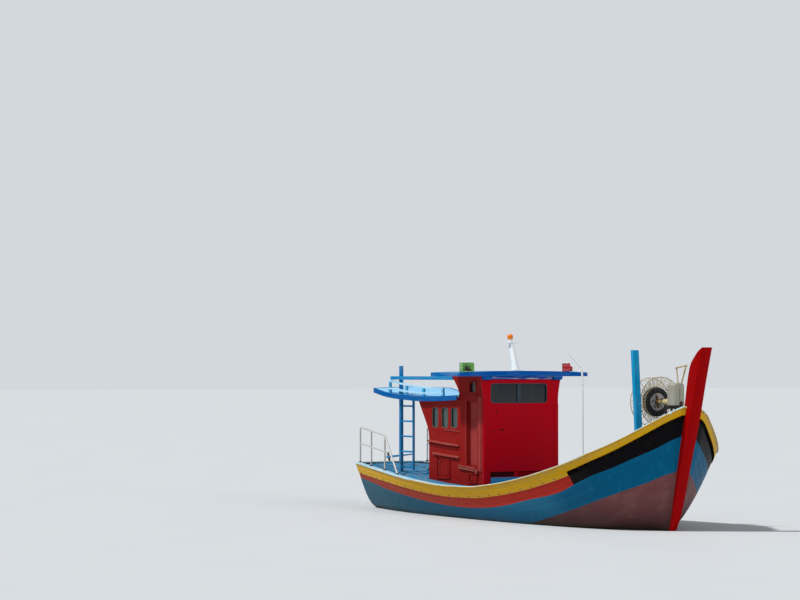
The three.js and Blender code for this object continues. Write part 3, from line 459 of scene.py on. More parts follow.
# Scuffs on the front of the wheelhouse: place across, height, half width, half height
FRONT_SCUFFS = (
    (-0.48, 1.885, 0.075, 0.035), (-0.71, 1.86, 0.04, 0.03), (-0.64, 1.65, 0.07, 0.03),
    (-0.3, 1.62, 0.03, 0.02),
    (-0.62, 2.28, 0.03, 0.05), (0.12, 2.2, 0.03, 0.02),
)
FINISHES: dict[str, Finish] = {
    "topsides": TopsidePaint(),
    "bottom": OilPaint("583230", "704a46", "50463c", rough=0.7, grime=0.6),
    "yellow": OilPaint("ce9e04", "c49228", "96886e", fade=0.35, chips=0.35, grime=0.45, sheen=0.05),
    "panel_black": OilPaint(
        "090709", "181314", "5a5450", rough=0.6, fade=0.3, chips=0.08, grime=0.1, sheen=0.0
    ),
    "deck": OilPaint("0a7aac", "2c96bc", BARE_WOOD, rough=0.6, grime=0.3, chips=0.5, sheen=0.03),
    "inside": OilPaint("047ab0", "2892be", BARE_WOOD, grime=0.4, chips=0.3, sheen=0.03),
    "cap": OilPaint("a0d4e6", "d4e2e2", "b2aa94", fade=0.8, chips=0.8),
    "crimson": OilPaint(
        "bc0014", "b40820", "541e1e", Grain.UPRIGHT, 0.36, 0.5, 0.14, 0.12, sheen=0.05, scuffs=FRONT_SCUFFS
    ),
    "wine": OilPaint("4a0410", "541e24", "46322e", Grain.ATHWART, 0.5, 0.5, 0.3, 0.2),
    "brick": OilPaint("8a1412", "8e2622", "60322a", Grain.UPRIGHT, 0.42, 0.5, 0.3, 0.15, sheen=0.03),
    "door_red": OilPaint("983432", "9c423e", "603a32", Grain.UPRIGHT, 0.42, 0.5, 0.25, 0.15, sheen=0.03),
    "ledge": OilPaint("943630", "9e5248", "967060", Grain.FORE_AFT, 0.45, 0.5, 0.3, 0.4),
    "stem": OilPaint("960002", "8c040a", "642824", Grain.UPRIGHT, 0.34, 0.4, 0.2, 0.08, sheen=0.03),
    "roof": OilPaint("0056a8", "0462b0", "d6d4cc", Grain.ATHWART, 0.5, 0.35, 0.06, 0.05, sheen=0.01),
    # Slightly lighter and more teal than the front edge's blue: partly painted light on the sunlit side
    # edges.
    "roof_side_lit": OilPaint("0060a4", "0a6eb0", "ced0cc", Grain.FORE_AFT, 0.5, 0.35, 0.06, 0.12, sheen=0.01),
    "roof_top": OilPaint(
        "549ccc", "88bedc", "c8cccc", Grain.ATHWART, 0.55, 0.6, 0.3, 0.5, boards=0.15, across=0
    ),
    "peeled_blue": OilPaint("004eac", "1460b4", "d6cecc", Grain.ATHWART, 0.42, 0.4, 0.1, 0.75, sheen=0.05),
    "canopy": OilPaint("8cc6ec", "acd6f0", "ced6d8", chips=0.3, rough=0.55, grime=0.2, sheen=0.05),
    "fascia": OilPaint(
        "00569a", "0464a8", "b4c4cc", rough=0.5, fade=0.35, chips=0.12, grime=0.15, sheen=0.01
    ),
    "guard": OilPaint("9cd2ee", "c4e2f2", "ced6d8", chips=0.3, grime=0.15, sheen=0.05),
    "teal": OilPaint("1692c4", "3caad2", "bec4c0", Grain.UPRIGHT, chips=0.2, grime=0.15, sheen=0.03),
    "sky": OilPaint(
        "088ebe", "2ca2cc", "bec4c0", Grain.UPRIGHT, fade=0.3, chips=0.05, grime=0.05, sheen=0.02
    ),
    "post": OilPaint("0076b0", "108abe", "aaaaa0", Grain.UPRIGHT, chips=0.2, grime=0.15, sheen=0.02),
    "beam": OilPaint("007eb8", "0c8cc2", "b4b4aa", chips=0.12, grime=0.1, sheen=0.02),
    "lid": OilPaint("60a8c8", "94c4d2", BARE_WOOD, chips=0.9, boards=0.14, rough=0.6),
    "white": OilPaint("ecf0f2", "d6d8d6", "96604c", Grain.UPRIGHT, fade=0.3, chips=0.2, grime=0.1),
    "green": OilPaint("60a050", "7eb26e", "bec8aa", fade=0.4, chips=0.4, grime=0.2, sheen=0.05),
    "dark_green": OilPaint("549242", "6ea654", "96a082", fade=0.5, chips=0.3, grime=0.2, sheen=0.05),
    "lamp_red_board": OilPaint("aa0614", "b01e28", "c8b4b0", fade=0.3, chips=0.2, grime=0.15),
    "beige": OilPaint("a8a494", "989486", "6e5a46", Grain.UPRIGHT, fade=0.4, chips=0.2, grime=0.15),
    "tan_iron": OilPaint("ceba8a", "b4a278", "6e5038", Grain.UPRIGHT, 0.5, 0.5, 0.2, 0.4),
    # Lighter than the hub's grey paint: painted light on the hub's face, which lies in the shade of the cage.
    "hub_grey_lit": OilPaint("bab2ae", "a0948e", "684634", Grain.UPRIGHT, 0.5, 0.5, 0.4, 0.6),
    "putty": OilPaint("62625a", "86867c", "6e6e68", chips=0.3),
    "pipe": Metal("ceccc6", metallic=0.15, rough=0.4, rusty=0.22),
    "iron": Metal("322c2a", "4e3226", metallic=0.5, rough=0.65, rusty=0.6),
    "rusty": Metal("785c34", "865628", metallic=0.1, rough=0.75, rusty=0.8),
    "bolt": Metal("342620", metallic=0.4, rough=0.7, rusty=0.6),
    "wire": Metal("cec096", "7a4e2e", metallic=0.1, rough=0.6, rusty=0.55),
    "bronze": Metal("b08446", "4a6046", metallic=0.9, rough=0.4, rusty=0.5),
    "engine": Metal("3a5c46", metallic=0.1, rough=0.5, rusty=0.4),
    "glass": Glass("121c22", dusty=0.2),
    "cabin_glass": Glass("1a3232", "96a090", dusty=0.8),
    "amber": Glass("f07a06", "c8783c", rough=0.15, dusty=0.2),
    "red_lens": Glass("b80c18", "b45a5a", rough=0.2, dusty=0.2),
    "dark_lens": Glass("0e1416", rough=0.1, dusty=0.2),
    "tyre": Rubber(),
    "rubber_strip": Rubber("2c3a44"),
}


class PaintShop:
    """Makes each finish once and hands out its material."""

    _made: dict[str, bpy.types.Material] = {}

    @classmethod
    def get(cls, name: str) -> bpy.types.Material:
        """The material of a finish by name."""
        if name not in cls._made:
            cls._made[name] = FINISHES[name].make(name)
        return cls._made[name]


class Plane(Enum):
    """The plane that an outline is drawn in. The third axis is the board's thickness."""

    XZ = (0, 2, 1)
    YZ = (1, 2, 0)
    XY = (0, 1, 2)

    def point(self, a: float, b: float, depth: float) -> Vector:
        """A point from its two drawn coordinates and its depth."""
        out = Vector()
        for axis, value in zip(self.value, (a, b, depth)):
            out[axis] = value
        return out


def spread(a: float, b: float, count: int) -> list[float]:
    """Even steps from a to b."""
    return [a + (b - a) * n / (count - 1) for n in range(count)]


def turns(count: int) -> list[float]:
    """Even angles round a circle."""
    return [2 * math.pi * n / count for n in range(count)]


def rounded(x0: float, x1: float, z0: float, z1: float, r: float, grow: float = 0.0) -> list[Pair]:
    """Outline of a rectangle with round corners.

    Args:
        x0: Its left edge.
        x1: Its right edge.
        z0: Its lower edge.
        z1: Its upper edge.
        r: The radius of its corners.
        grow: How far the outline lies outside that rectangle.

    Returns:
        The points, anticlockwise.
    """
    r += grow
    low, high, left, right = z0 - grow + r, z1 + grow - r, x0 - grow + r, x1 + grow - r
    centres = ((right, low, -90), (right, high, 0), (left, high, 90), (left, low, 180))
    return [
        (cx + r * math.cos(a), cz + r * math.sin(a))
        for cx, cz, start in centres
        for a in (math.radians(start + 15 * n) for n in range(7))
    ]


def curve(points: Line, steps: int = 8) -> list[Vector]:
    """A smooth line through points, with steps from each to the next."""
    p = [Vector(q) for q in points]
    p = [p[0] * 2 - p[1], *p, p[-1] * 2 - p[-2]]
    out: list[Vector] = []
    for i in range(1, len(p) - 2):
        a, b, c, d = p[i - 1 : i + 3]
        for t in (n / steps for n in range(steps)):
            bend, turn = a * 2 - b * 5 + c * 4 - d, b * 3 - a - c * 3 + d
            out.append((b * 2 + (c - a) * t + bend * t**2 + turn * t**3) / 2)
    return [*out, p[-2]]


def follow(points: Sequence[Pair], steps: int = 6) -> list[Pair]:
    """A smooth flat line through drawn points."""
    return [(p.x, p.z) for p in curve([(a, 0.0, b) for a, b in points], steps)]


def mirrored(half: Sequence[Pair]) -> list[Pair]:
    """A half outline and its mirror image, in the order of one loop."""
    return [*half, *[(-a, b) for a, b in reversed(half)]]


def place(name: str, data: bpy.types.ID) -> bpy.types.Object:
    """Puts an object with some data into the scene."""
    made = bpy.data.objects.new(name, data)
    bpy.context.scene.collection.objects.link(made)
    return made


def soften(made: bpy.types.Object, width: float, weld: bool = False) -> None:
    """Rounds the edges of an object with a modifier."""
    if weld:
        made.modifiers.new("weld", "WELD").merge_threshold = 0.0002
    bevel = made.modifiers.new("edges", "BEVEL")
    bevel.width, bevel.segments = width, 2
    bevel.limit_method, bevel.angle_limit = "ANGLE", math.radians(38)
    bevel.use_clamp_overlap = True
    made.modifiers.new("shade", "WEIGHTED_NORMAL").keep_sharp = not weld


class Solid:
    """Closed shapes gathered into one mesh, in the boat's own frame."""

    def __init__(self) -> None:
        """Starts with nothing."""
        self.points: list[Vector] = []
        self.faces: list[tuple[int, ...]] = []
        self.marks: dict[int, float] = {}

    def add(self, points: Iterable[Sequence[float]], faces: Iterable[Sequence[int]]) -> "Solid":
        """Adds points and the faces that they span."""
        start = len(self.points)
        self.points.extend(Vector(p) for p in points)
        self.faces.extend(tuple(i + start for i in face) for face in faces)
        return self

    def box(self, low: Sequence[float], high: Sequence[float]) -> "Solid":
        """A block between two corners."""
        xs, ys, zs = (sorted(pair) for pair in zip(low, high))
        corners = [(x, y, z) for x in xs for y in ys for z in zs]
        sides = ((0, 1, 3, 2), (4, 6, 7, 5), (0, 4, 5, 1), (2, 3, 7, 6), (0, 2, 6, 4), (1, 5, 7, 3))
        return self.add(corners, sides)

    def loft(self, rings: Sequence[Line], loop: bool = False) -> "Solid":
        """A skin through closed rings of as many points each.

        Args:
            rings: The rings in order.
            loop: Whether the last ring joins the first, so that there are no ends.

        Returns:
            This solid.
        """
        n, count = len(rings[0]), len(rings)
        faces: list[tuple[int, ...]] = []
        for i in range(count if loop else count - 1):
            a, b = i * n, (i + 1) % count * n
            faces += [(a + j, a + (j + 1) % n, b + (j + 1) % n, b + j) for j in range(n)]
        if not loop:
            faces += [tuple(range(n)), tuple(range((count - 1) * n, count * n))[::-1]]
        return self.add([p for ring in rings for p in ring], faces)

    def along(self, rings: Sequence[Line]) -> "Solid":
        """A skin along the hull whose fore end runs on into the stem."""
        return self.loft([*rings, rabbet(rings[-1])])

    def board(
        self,
        plane: Plane,
        outline: Sequence[Pair],
        near: float,
        far: float,
        holes: Sequence[Sequence[Pair]] = (),
    ) -> "Solid":
        """A flat board.

        Args:
            plane: The plane that the outline lies in.
            outline: The outer edge.
            near: Depth of one face.
            far: Depth of the other.
            holes: The edges of its holes.

        Returns:
            This solid.
        """
        loops = [outline, *holes]
        flat = [p for one in loops for p in one]
        cover, count = self.cover(loops), len(flat)
        faces = [*cover, *[tuple(i + count for i in reversed(t)) for t in cover]]
        start = 0
        for one in loops:
            m = len(one)
            for a, b in ((start + i, start + (i + 1) % m) for i in range(m)):
                faces.append((a, b, b + count, a + count))
            start += m
        return self.add([plane.point(a, b, depth) for depth in (near, far) for a, b in flat], faces)

    @staticmethod
    def cover(loops: Sequence[Sequence[Pair]]) -> list[tuple[int, ...]]:
        """Fills an outline with holes in large faces, which leaves no slivers to shade."""
        work = bmesh.new()
        drawn = [[Vector((a, b, 0)) for a, b in one] for one in loops]
        points = [work.verts.new(p) for one in drawn for p in one]
        order = {point: n for n, point in enumerate(points)}
        for corners in tessellate_polygon(drawn):
            work.faces.new([points[n] for n in corners])
        bmesh.ops.recalc_face_normals(work, faces=work.faces)
        bmesh.ops.dissolve_limit(work, angle_limit=0.01, verts=[], edges=work.edges)
        faces = [tuple(order[point] for point in face.verts) for face in work.faces]
        work.free()
        return faces

    def tube(self, path: Line, radius: float, sides: int = 12, loop: bool = False) -> "Solid":
        """A round bar or pipe along a path.

        Args:
            path: The points of its centre line.
            radius: Its radius.
            sides: Faces around it.
            loop: Whether it closes on itself.

        Returns:
            This solid.
        """
        line = [Vector(p) for p in path]
        last = len(line) - 1
        if loop:
            ends = [((i + 1) % len(line), i - 1) for i in range(len(line))]
        else:
            ends = [(min(i + 1, last), max(i - 1, 0)) for i in range(len(line))]
        ahead = [line[b] - line[a] for b, a in ends]
        up = Vector((0, 0, 1)) if abs(ahead[0].normalized().z) < 0.9 else Vector((1, 0, 0))
        rings = []
        for point, way in zip(line, ahead):
            side = way.cross(up).normalized()
            up = side.cross(way).normalized()
            rings.append([point + (side * math.cos(a) + up * math.sin(a)) * radius for a in turns(sides)])
        return self.loft(rings, loop)

    def turned(self, centre: Sequence[float], axis: Vec, profile: Sequence[Pair], sides: int = 24) -> "Solid":
        """A turned shape from a profile of distances along its axis and radii."""
        way = Vector(axis).normalized()
        side = way.cross(Vector((0, 0, 1)) if abs(way.z) < 0.9 else Vector((1, 0, 0))).normalized()
        up = side.cross(way)
        spokes = [side * math.cos(a) + up * math.sin(a) for a in turns(sides)]
        return self.loft([[Vector(centre) + way * a + spoke * r for spoke in spokes] for a, r in profile])

    def bolt(self, at: Sequence[float], axis: Vec, r: float, high: float) -> "Solid":
        """A domed bolt head on a surface."""
        head = ((-0.002, r), (high * 0.4, r), (high * 0.8, r * 0.7), (high, r * 0.2))
        return self.turned(at, axis, head, 10)

    def piece(
        self,
        name: str,
        finish: str,
        body: str = BOAT,
        replaces: Sequence[str] = (),
        slot: str = "",
        bevel: float = 0.0,
        angle: float = 35.0,
    ) -> None:
        """Makes the object.

        Args:
            name: Its name.
            finish: The finish that it gets.
            body: The body that it rides on.
            replaces: Nodes of the frame that it stands for.
            slot: Slot of the record that it belongs to, where that isn't the slot of its finish. Not used.
            bevel: Width of its rounded edges.
            angle: Edges sharper than this stay sharp, in degrees.
        """
        mesh = bpy.data.meshes.new(name)
        mesh.from_pydata(self.points, [], self.faces)
        if self.marks:
            attribute = mesh.attributes.new("strake", "FLOAT", "POINT")
            attribute.data.foreach_set("value", [self.marks.get(i, 0.0) for i in range(len(self.points))])
        work = bmesh.new()
        work.from_mesh(mesh)
        bmesh.ops.recalc_face_normals(work, faces=work.faces)
        work.to_mesh(mesh)
        work.free()
        mesh.shade_smooth()
        mesh.set_sharp_from_angle(angle=math.radians(angle))
        mesh.materials.append(PaintShop.get(finish))
        made = place(name, mesh)
        if bevel:
            soften(made, bevel)
        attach(made, body)
        if replaces:
            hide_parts(*replaces)
        LOG.info("piece %s: %d points", name, len(mesh.vertices))


class Siding(Solid):
    """Boards on an upright side wall, placed by their depth off its face."""

    def __init__(self, face: float, s: int) -> None:
        """Keeps the face's distance off the centre line and the side, -1 to starboard."""
        super().__init__()
        self.face, self.s = face, s

    def out(self, depth: float) -> float:
        """Place across the boat of a depth off the face."""
        return self.s * (self.face + depth)

    def plank(self, outline: Sequence[Pair], near: float, far: float, *holes: Sequence[Pair]) -> "Siding":
        """Adds a board between two depths."""
        return self.board(Plane.XZ, outline, self.out(near), self.out(far), holes)

    def block(self, x0: float, x1: float, z0: float, z1: float, near: float, far: float) -> "Siding":
        """Adds a block between two depths."""
        return self.box((x0, self.out(near), z0), (x1, self.out(far), z1))

    def frame(self, hole: Sequence[float], wide: float, near: float, far: float) -> "Siding":
        """Adds a frame of some width round a rounded opening."""
        return self.plank(rounded(*hole, wide), near, far, rounded(*hole))


class Fair:
    """A fair line through the points of a table that does not overshoot them."""

    def __init__(self, xs: Sequence[float], ys: Sequence[float]) -> None:
        """Keeps the points and finds the slope at each."""
        self.xs, self.ys = np.asarray(xs, float), np.asarray(ys, float)
        gap = np.diff(self.xs)
        rise = np.diff(self.ys) / gap
        self.slope = np.zeros(len(self.xs))
        self.slope[0], self.slope[-1] = rise[0], rise[-1]
        for i in range(1, len(self.xs) - 1):
            if rise[i - 1] * rise[i] > 0:
                w0, w1 = 2 * gap[i] + gap[i - 1], gap[i] + 2 * gap[i - 1]
                self.slope[i] = (w0 + w1) / (w0 / rise[i - 1] + w1 / rise[i])

    def __call__(self, x: float) -> float:
        """The line's value at a place."""
        x = float(np.clip(x, self.xs[0], self.xs[-1]))
        i = int(np.clip(np.searchsorted(self.xs, x) - 1, 0, len(self.xs) - 2))
        gap = self.xs[i + 1] - self.xs[i]
        t = (x - self.xs[i]) / gap
        level = (2 * t**3 - 3 * t**2 + 1) * self.ys[i] + (3 * t**2 - 2 * t**3) * self.ys[i + 1]
        slant = (t**3 - 2 * t**2 + t) * self.slope[i] + (t**3 - t**2) * self.slope[i + 1]
        return float(level + slant * gap)


# Stations from stern to bow: place at the sheer, half breadth, sheer height, forward move for
# each metre below the sheer, bottom of the section, half width there, fullness, height above deck
STATIONS = (
    (-5.6, 0.93, 1.045, 0.353, -0.02, 0.06, 0.14, 0.075),
    (-5.0, 1.08, 1.01, 0.2, -0.06, 0.06, 0.17, 0.075),
    (-4.4, 1.22, 0.975, 0.1, -0.17, 0.06, 0.21, 0.075),
    (-3.5, 1.4, 0.915, 0, -0.33, 0.06, 0.26, 0.075),
    (-2.5, 1.53, 0.83, 0, -0.44, 0.06, 0.29, 0.075),
    (-1.5, 1.6, 0.755, 0, -0.45, 0.06, 0.3, 0.075),
    (-0.5, 1.64, 0.715, 0, -0.45, 0.06, 0.3, 0.075),
    (0.5, 1.66, 0.725, 0, -0.45, 0.06, 0.3, 0.08),
    (1.5, 1.68, 0.81, 0, -0.45, 0.06, 0.3, 0.12),
    (2.5, 1.69, 0.955, 0, -0.445, 0.06, 0.34, 0.19),
    (3.5, 1.68, 1.155, 0, -0.42, 0.06, 0.39, 0.29),
    (4.2, 1.64, 1.33, -0.08, -0.36, 0.06, 0.43, 0.37),
    (4.8, 1.57, 1.52, -0.16, -0.26, 0.06, 0.45, 0.44),
    (5.04, 1.41, 1.64, -0.19, -0.21, 0.06, 0.45, 0.48),
    (5.26, 1.22, 1.77, -0.21, -0.16, 0.06, 0.45, 0.52),
    (5.51, 0.965, 1.95, -0.23, -0.1, 0.062, 0.46, 0.56),
    (5.76, 0.68, 2.15, -0.245, -0.05, 0.066, 0.47, 0.6),
    (5.98, 0.4, 2.34, -0.26, -0.02, 0.07, 0.47, 0.64),
    (6.07, 0.15, 2.45, -0.255, 0, 0.074, 0.48, 0.66),
)

# Stem from its foot to its head: height, front, aft face, half width
STEM = (
    (-0.12, 5.42, 5.33, 0.072), (0, 5.52, 5.446, 0.076), (0.5, 5.735, 5.564, 0.092),
    (1.0, 5.88, 5.69, 0.105), (1.5, 6.03, 5.815, 0.115), (2.0, 6.19, 5.94, 0.124),
    (2.5, 6.33, 6.068, 0.126), (2.95, 6.452, 6.158, 0.126), (3.26, 6.545, 6.255, 0.125),
    (3.43, 6.598, 6.4, 0.124), (3.545, 6.636, 6.535, 0.122), (3.595, 6.65, 6.64, 0.12),
)


@dataclass
class HullLines:
    """The shape of the hull: sheer, breadth, sections and deck, and the shape of the stem."""

    camber: float = 0.04

    def __post_init__(self) -> None:
        """Fairs the columns of both tables and finds the edge of the deck."""
        columns, stem = list(zip(*STATIONS)), list(zip(*STEM))
        self.columns = [Fair(columns[0], column) for column in columns]
        self.stem = [Fair(stem[0], column) for column in stem]
        self.first, self.last = columns[0][0], columns[0][-1]
        edge = []
        for x, b, z, rake, low, w, q, h in STATIONS:
            t = (z - h - low) / (z - low)
            edge.append((x + rake * h, w + (b - w) * t**q, z - h))
        self.deck_x, self.deck_y, self.deck_z = zip(*edge)

    def breadth(self, x: float) -> float:
        """Half breadth at the sheer."""
        return self.columns[1](x)

    def sheer(self, x: float) -> float:
        """Height of the sheer."""
        return self.columns[2](x)

    def low(self, x: float) -> float:
        """Height of the section's bottom."""
        return self.columns[4](x)

    def bulwark(self, x: float) -> float:
        """Height of the sheer above the edge of the deck."""
        return self.columns[7](x)

    def normal(self, x: float) -> Pair:
        """Outward direction in plan on the port side."""
        step = 0.05
        a, b = max(x - step, self.first), min(x + step, self.last)
        run, rise = b - a, self.breadth(b) - self.breadth(a)
        length = math.hypot(run, rise)
        return -rise / length, run / length

    def side(self, x: float, z: float, out: float, s: int) -> Vector:
        """A point on the side of a station.

        Args:
            x: The station's place at the sheer.
            z: Height of the point.
            out: How far it stands off the surface.
            s: -1 to starboard, 1 to port.

        Returns:
            The point.
        """
        b, top, rake, low, w, q = (column(x) for column in self.columns[1:7])
        t = min(max((z - low) / (top - low), 0.0), 1.0)
        nx, ny = self.normal(x)
        return Vector((x + rake * (top - z) + nx * out, s * (w + (b - w) * t**q + ny * out), z))

    def deck(self, x: float, y: float) -> float:
        """Height of the deck."""
        z = np.interp(x, self.deck_x, self.deck_z)
        return float(z + self.camber * (1 - (y / self.deck_half(x)) ** 2))

    def deck_half(self, x: float) -> float:
        """Half breadth of the deck."""
        return float(np.interp(x, self.deck_x, self.deck_y))


LINES = HullLines()
HULL_XS = spread(LINES.first, LINES.last, 130)


def rabbet(ring: Line, reach: float = 0.05) -> list[Vec]:
    """A ring carried on into the stem, so that no end of a plank shows beside it."""
    return [(x + reach, math.copysign(min(abs(y), LINES.stem[3](z) - 0.006), y), z) for x, y, z in ring]


@dataclass
class Planking:
    """Carvel planks from the rubbing strake to the keel, and the boards of the transom."""

    strakes: int = 10
    stations: int = 150
    levels: int = 160
    down: float = 0.225
    proud: float = 0.010
    groove: float = 0.0085
    lip: float = 0.025

    def build(self) -> None:
        """Builds the planks of both sides and the transom."""
        for side, s in SIDES.items():
            self.side(side, s)
        self.transom()

    def profile(self) -> list[Pair]:
        """Share down the section and height off the hull of each row of points."""
        edge, crown = self.proud, self.proud * 1.15
        plank = ((0, self.groove), (self.lip, edge), (0.3, crown), (0.7, crown), (1 - self.lip, edge))
        rows = [((n + f) / self.strakes, out) for n in range(self.strakes) for f, out in plank]
        return [*rows, (1.0, self.groove)]

    def side(self, side: str, s: int) -> None:
        """Builds one side's planks as a thin closed shell."""
        shares, outs = (np.array(column) for column in zip(*self.profile()))
        base = []
        for x in spread(LINES.first, LINES.last, self.stations):
            top, low = LINES.sheer(x) - self.down, LINES.low(x)
            levels = low + (top - low) * np.linspace(1, 0, self.levels) ** 1.6
            line = np.array([LINES.side(x, z, 0.0, 1) for z in levels])
            run = np.concatenate([[0], np.cumsum(np.linalg.norm(np.diff(line, axis=0), axis=1))])
            base.append(np.stack([np.interp(shares * run[-1], run, line[:, n]) for n in range(3)], axis=1))
        grid = np.array(base)
        normal = np.cross(np.gradient(grid, axis=0), np.gradient(grid, axis=1))
        normal *= np.sign(normal[0, 0, 1]) / np.linalg.norm(normal, axis=2)[..., None]
        outer, inner = grid + normal * outs[:, None], grid + normal * 0.001
        outer[..., 1] *= s
        inner[..., 1] *= s
        rings = [[*map(tuple, near), *map(tuple, far[::5][::-1])] for near, far in zip(outer, inner)]
        solid = Solid().along(rings)
        per = len(rings[0])
        for i in range(len(rings) + 1):
            solid.marks.update({i * per + j: share * self.strakes for j, share in enumerate(shares)})
        solid.piece(f"planking_{side}", "topsides", angle=50)

    def transom(self) -> None:
        """Boards across the raked transom."""
        solid, x, gap = Solid(), LINES.first, 0.003
        lean = Vector((-1, 0, -LINES.columns[3](x))).normalized()
        levels = spread(LINES.sheer(x) - 0.02, LINES.low(x) + 0.01, 8)
        for high, low in zip(levels, levels[1:]):
            edge = [LINES.side(x, z, 0.004, 1) for z in spread(high - gap, low + gap, 4)]
            outline = [*edge, *[Vector((p.x, -p.y, p.z)) for p in reversed(edge)]]
            solid.loft([[p + lean * d for p in outline] for d in (0.001, 0.014)])
        solid.piece("transom_boards", "topsides", bevel=0.003)


@dataclass
class Wale:
    """The rubbing strake under the rail, with its bolts and the black panel at the bow."""

    top: float = 0.038
    seam: float = 0.165
    foot: float = 0.251
    proud: float = 0.030
    pitch: float = 0.41
    bolts: Pair = (-5.3, 4.12)
    panel_aft: float = 4.17
    over: float = 0.0022

    def build(self) -> None:
        """Builds the strake, its bolts and the panel on both sides."""
        top, seam, foot, proud, over = self.top, self.seam, self.foot, self.proud, self.over
        strake = (
            (top, 0.003), (top, proud - 0.005), (top + 0.006, proud), (seam - 0.006, proud),
            (seam, proud - 0.009), (seam + 0.006, proud - 0.003), (foot - 0.010, proud - 0.003),
            (foot, proud - 0.014), (foot, 0.003),
        )
        panel = (
            (seam + 0.004, 0.004), (seam + 0.004, proud - 0.006), (seam + 0.009, proud - 0.003 + over),
            (foot - 0.010, proud - 0.003 + over), (foot + over, proud - 0.013), (foot + over, 0.004),
        )
        bow = [self.panel_aft, *(x for x in HULL_XS if x > self.panel_aft + 0.01)]
        for side, s in SIDES.items():
            name = f"sheer_strake_{side}"
            self.band(HULL_XS, strake, s).piece(f"sheer_strake_paint_{side}", "yellow", replaces=[name])
            heads = Solid()
            for x in np.arange(*self.bolts, self.pitch):
                nx, ny = LINES.normal(x)
                at = LINES.side(x, LINES.sheer(x) - foot + 0.032, proud - 0.003, s)
                heads.bolt(at, (nx, s * ny, 0), 0.017, 0.007)
            heads.piece(f"strake_bolts_{side}", "bolt")
            self.band(bow, panel, s).piece(f"bow_panel_{side}", "panel_black")

    @staticmethod
    def band(xs: Sequence[float], section: Sequence[Pair], s: int) -> Solid:
        """A band whose section gives depths below the sheer and heights off the hull."""
        return Solid().along(
            [[LINES.side(x, LINES.sheer(x) - down, out, s) for down, out in section] for x in xs]
        )


@dataclass
class CapRail:
    """The rail on top of the sheer, with the stern cap and the breasthook between the rails."""

    out: float = 0.045
    inn: float = 0.085
    thick: float = 0.034
    edge: float = 0.007
    lift: float = 0.0012
    face_aft: float = -2.0

    def build(self) -> None:
        """Builds the rails, their painted faces, the stern cap and the breasthook."""
        e, t, out, inn, lift = self.edge, self.thick, self.out, self.inn, self.lift
        rail = (
            (-inn, t), (-inn, e), (-inn + e * 0.3, e * 0.3), (-inn + e, 0), (out - e, 0),
            (out - e * 0.3, e * 0.3), (out, e), (out, t - e), (out - e, t),
        )
        face = (
            (out - 0.01, 0.012), (out + lift, 0.012), (out + lift, t - e), (out - e, t + lift),
            (out - e - 0.01, t + lift),
        )
        for side, s in SIDES.items():
            self.strip(HULL_XS, rail, s).piece(f"rail_{side}", "cap", replaces=[f"cap_rail_{side}"])
            self.strip(spread(self.face_aft, LINES.last, 130), face, s).piece(f"rail_face_{side}", "yellow")
        rings = []
        for x in spread(5.75, LINES.last, 8):
            at = self.at(x, 0.0, -inn + 0.01, 1)
            corners = ((-at.y, 0.004), (at.y, 0.004), (at.y, 0.044), (-at.y, 0.044))
            rings.append([(at.x, y, at.z - down) for y, down in corners])
        Solid().loft(rings).piece("breasthook", "cap", bevel=0.006)
        Solid().box(*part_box("stern_cap")).piece("stern_rail", "cap", replaces=["stern_cap"], bevel=0.008)

    def strip(self, xs: Sequence[float], section: Sequence[Pair], s: int) -> Solid:
        """A band whose section gives places across the rail and depths below its top."""
        return Solid().along([[self.at(x, down, out, s) for out, down in section] for x in xs])

    def at(self, x: float, down: float, out: float, s: int) -> Vector:
        """A point of the rail's section, which stays level across."""
        top = LINES.sheer(x)
        base = LINES.side(x, top, 0.0, s)
        nx, ny = LINES.normal(x)
        return Vector((base.x + nx * out, base.y + s * ny * out, top - down))


@dataclass
class Bulwarks:
    """Inner planking of the raised bow and the frames that stand against it."""

    aft: float = 1.5
    thick: float = 0.045
    frames: tuple[float, float, float] = (2.0, 5.7, 0.46)
    frame: Pair = (0.05, 0.06)
    levels: int = 9

    def build(self) -> None:
        """Builds the planking and frames of both sides."""
        for side, s in SIDES.items():
            rings = []
            for x in spread(self.aft, LINES.last, 80):
                rows = spread(LINES.sheer(x) - LINES.bulwark(x) + 0.012, LINES.sheer(x) - 0.042, self.levels)
                far = [LINES.side(x, z, -0.001, s) for z in rows]
                near = [LINES.side(x, z, 0.004 * (n % 2) - self.thick, s) for n, z in enumerate(rows)]
                rings.append([*far, *reversed(near)])
            planks, frames = Solid().along(rings), Solid()
            planks.piece(f"bulwark_planks_{side}", "inside", replaces=[f"bulwark_{side}"], angle=20)
            for x in np.arange(*self.frames):
                self.stand(frames, x, s)
            frames.piece(f"bulwark_frames_{side}", "inside", bevel=0.006)

    def stand(self, frames: Solid, x: float, s: int) -> None:
        """Adds one frame from the deck to the rail."""
        wide, deep = self.frame
        ends = (LINES.sheer(x) - LINES.bulwark(x) + 0.03, LINES.sheer(x) - 0.036)
        corners = ((-wide / 2, -0.002), (wide / 2, -0.002), (wide / 2, deep), (-wide / 2, deep))
        frames.loft([[LINES.side(x + dx, z, -self.thick - dy, s) for dx, dy in corners] for z in ends])


@dataclass
class StemPost:
    """The tall raked stem, one timber with eased corners."""

    corner: float = 0.014

    def build(self) -> None:
        """Builds the post."""
        rings = []
        for z in [*spread(-0.12, 3.2, 40), *spread(3.26, 3.595, 14)]:
            f, a, w = (line(z) for line in LINES.stem[1:])
            c = min(self.corner, (f - a) * 0.4)
            half = [(f, w - c), (f - c * 0.3, w - c * 0.3), (f - c, w), (a + c, w), (a, w - c)]
            rings.append([*[(x, y, z) for x, y in half], *[(x, -y, z) for x, y in reversed(half)]])
        Solid().loft(rings).piece("stem_timber", "stem", replaces=["stem_post"], angle=30)


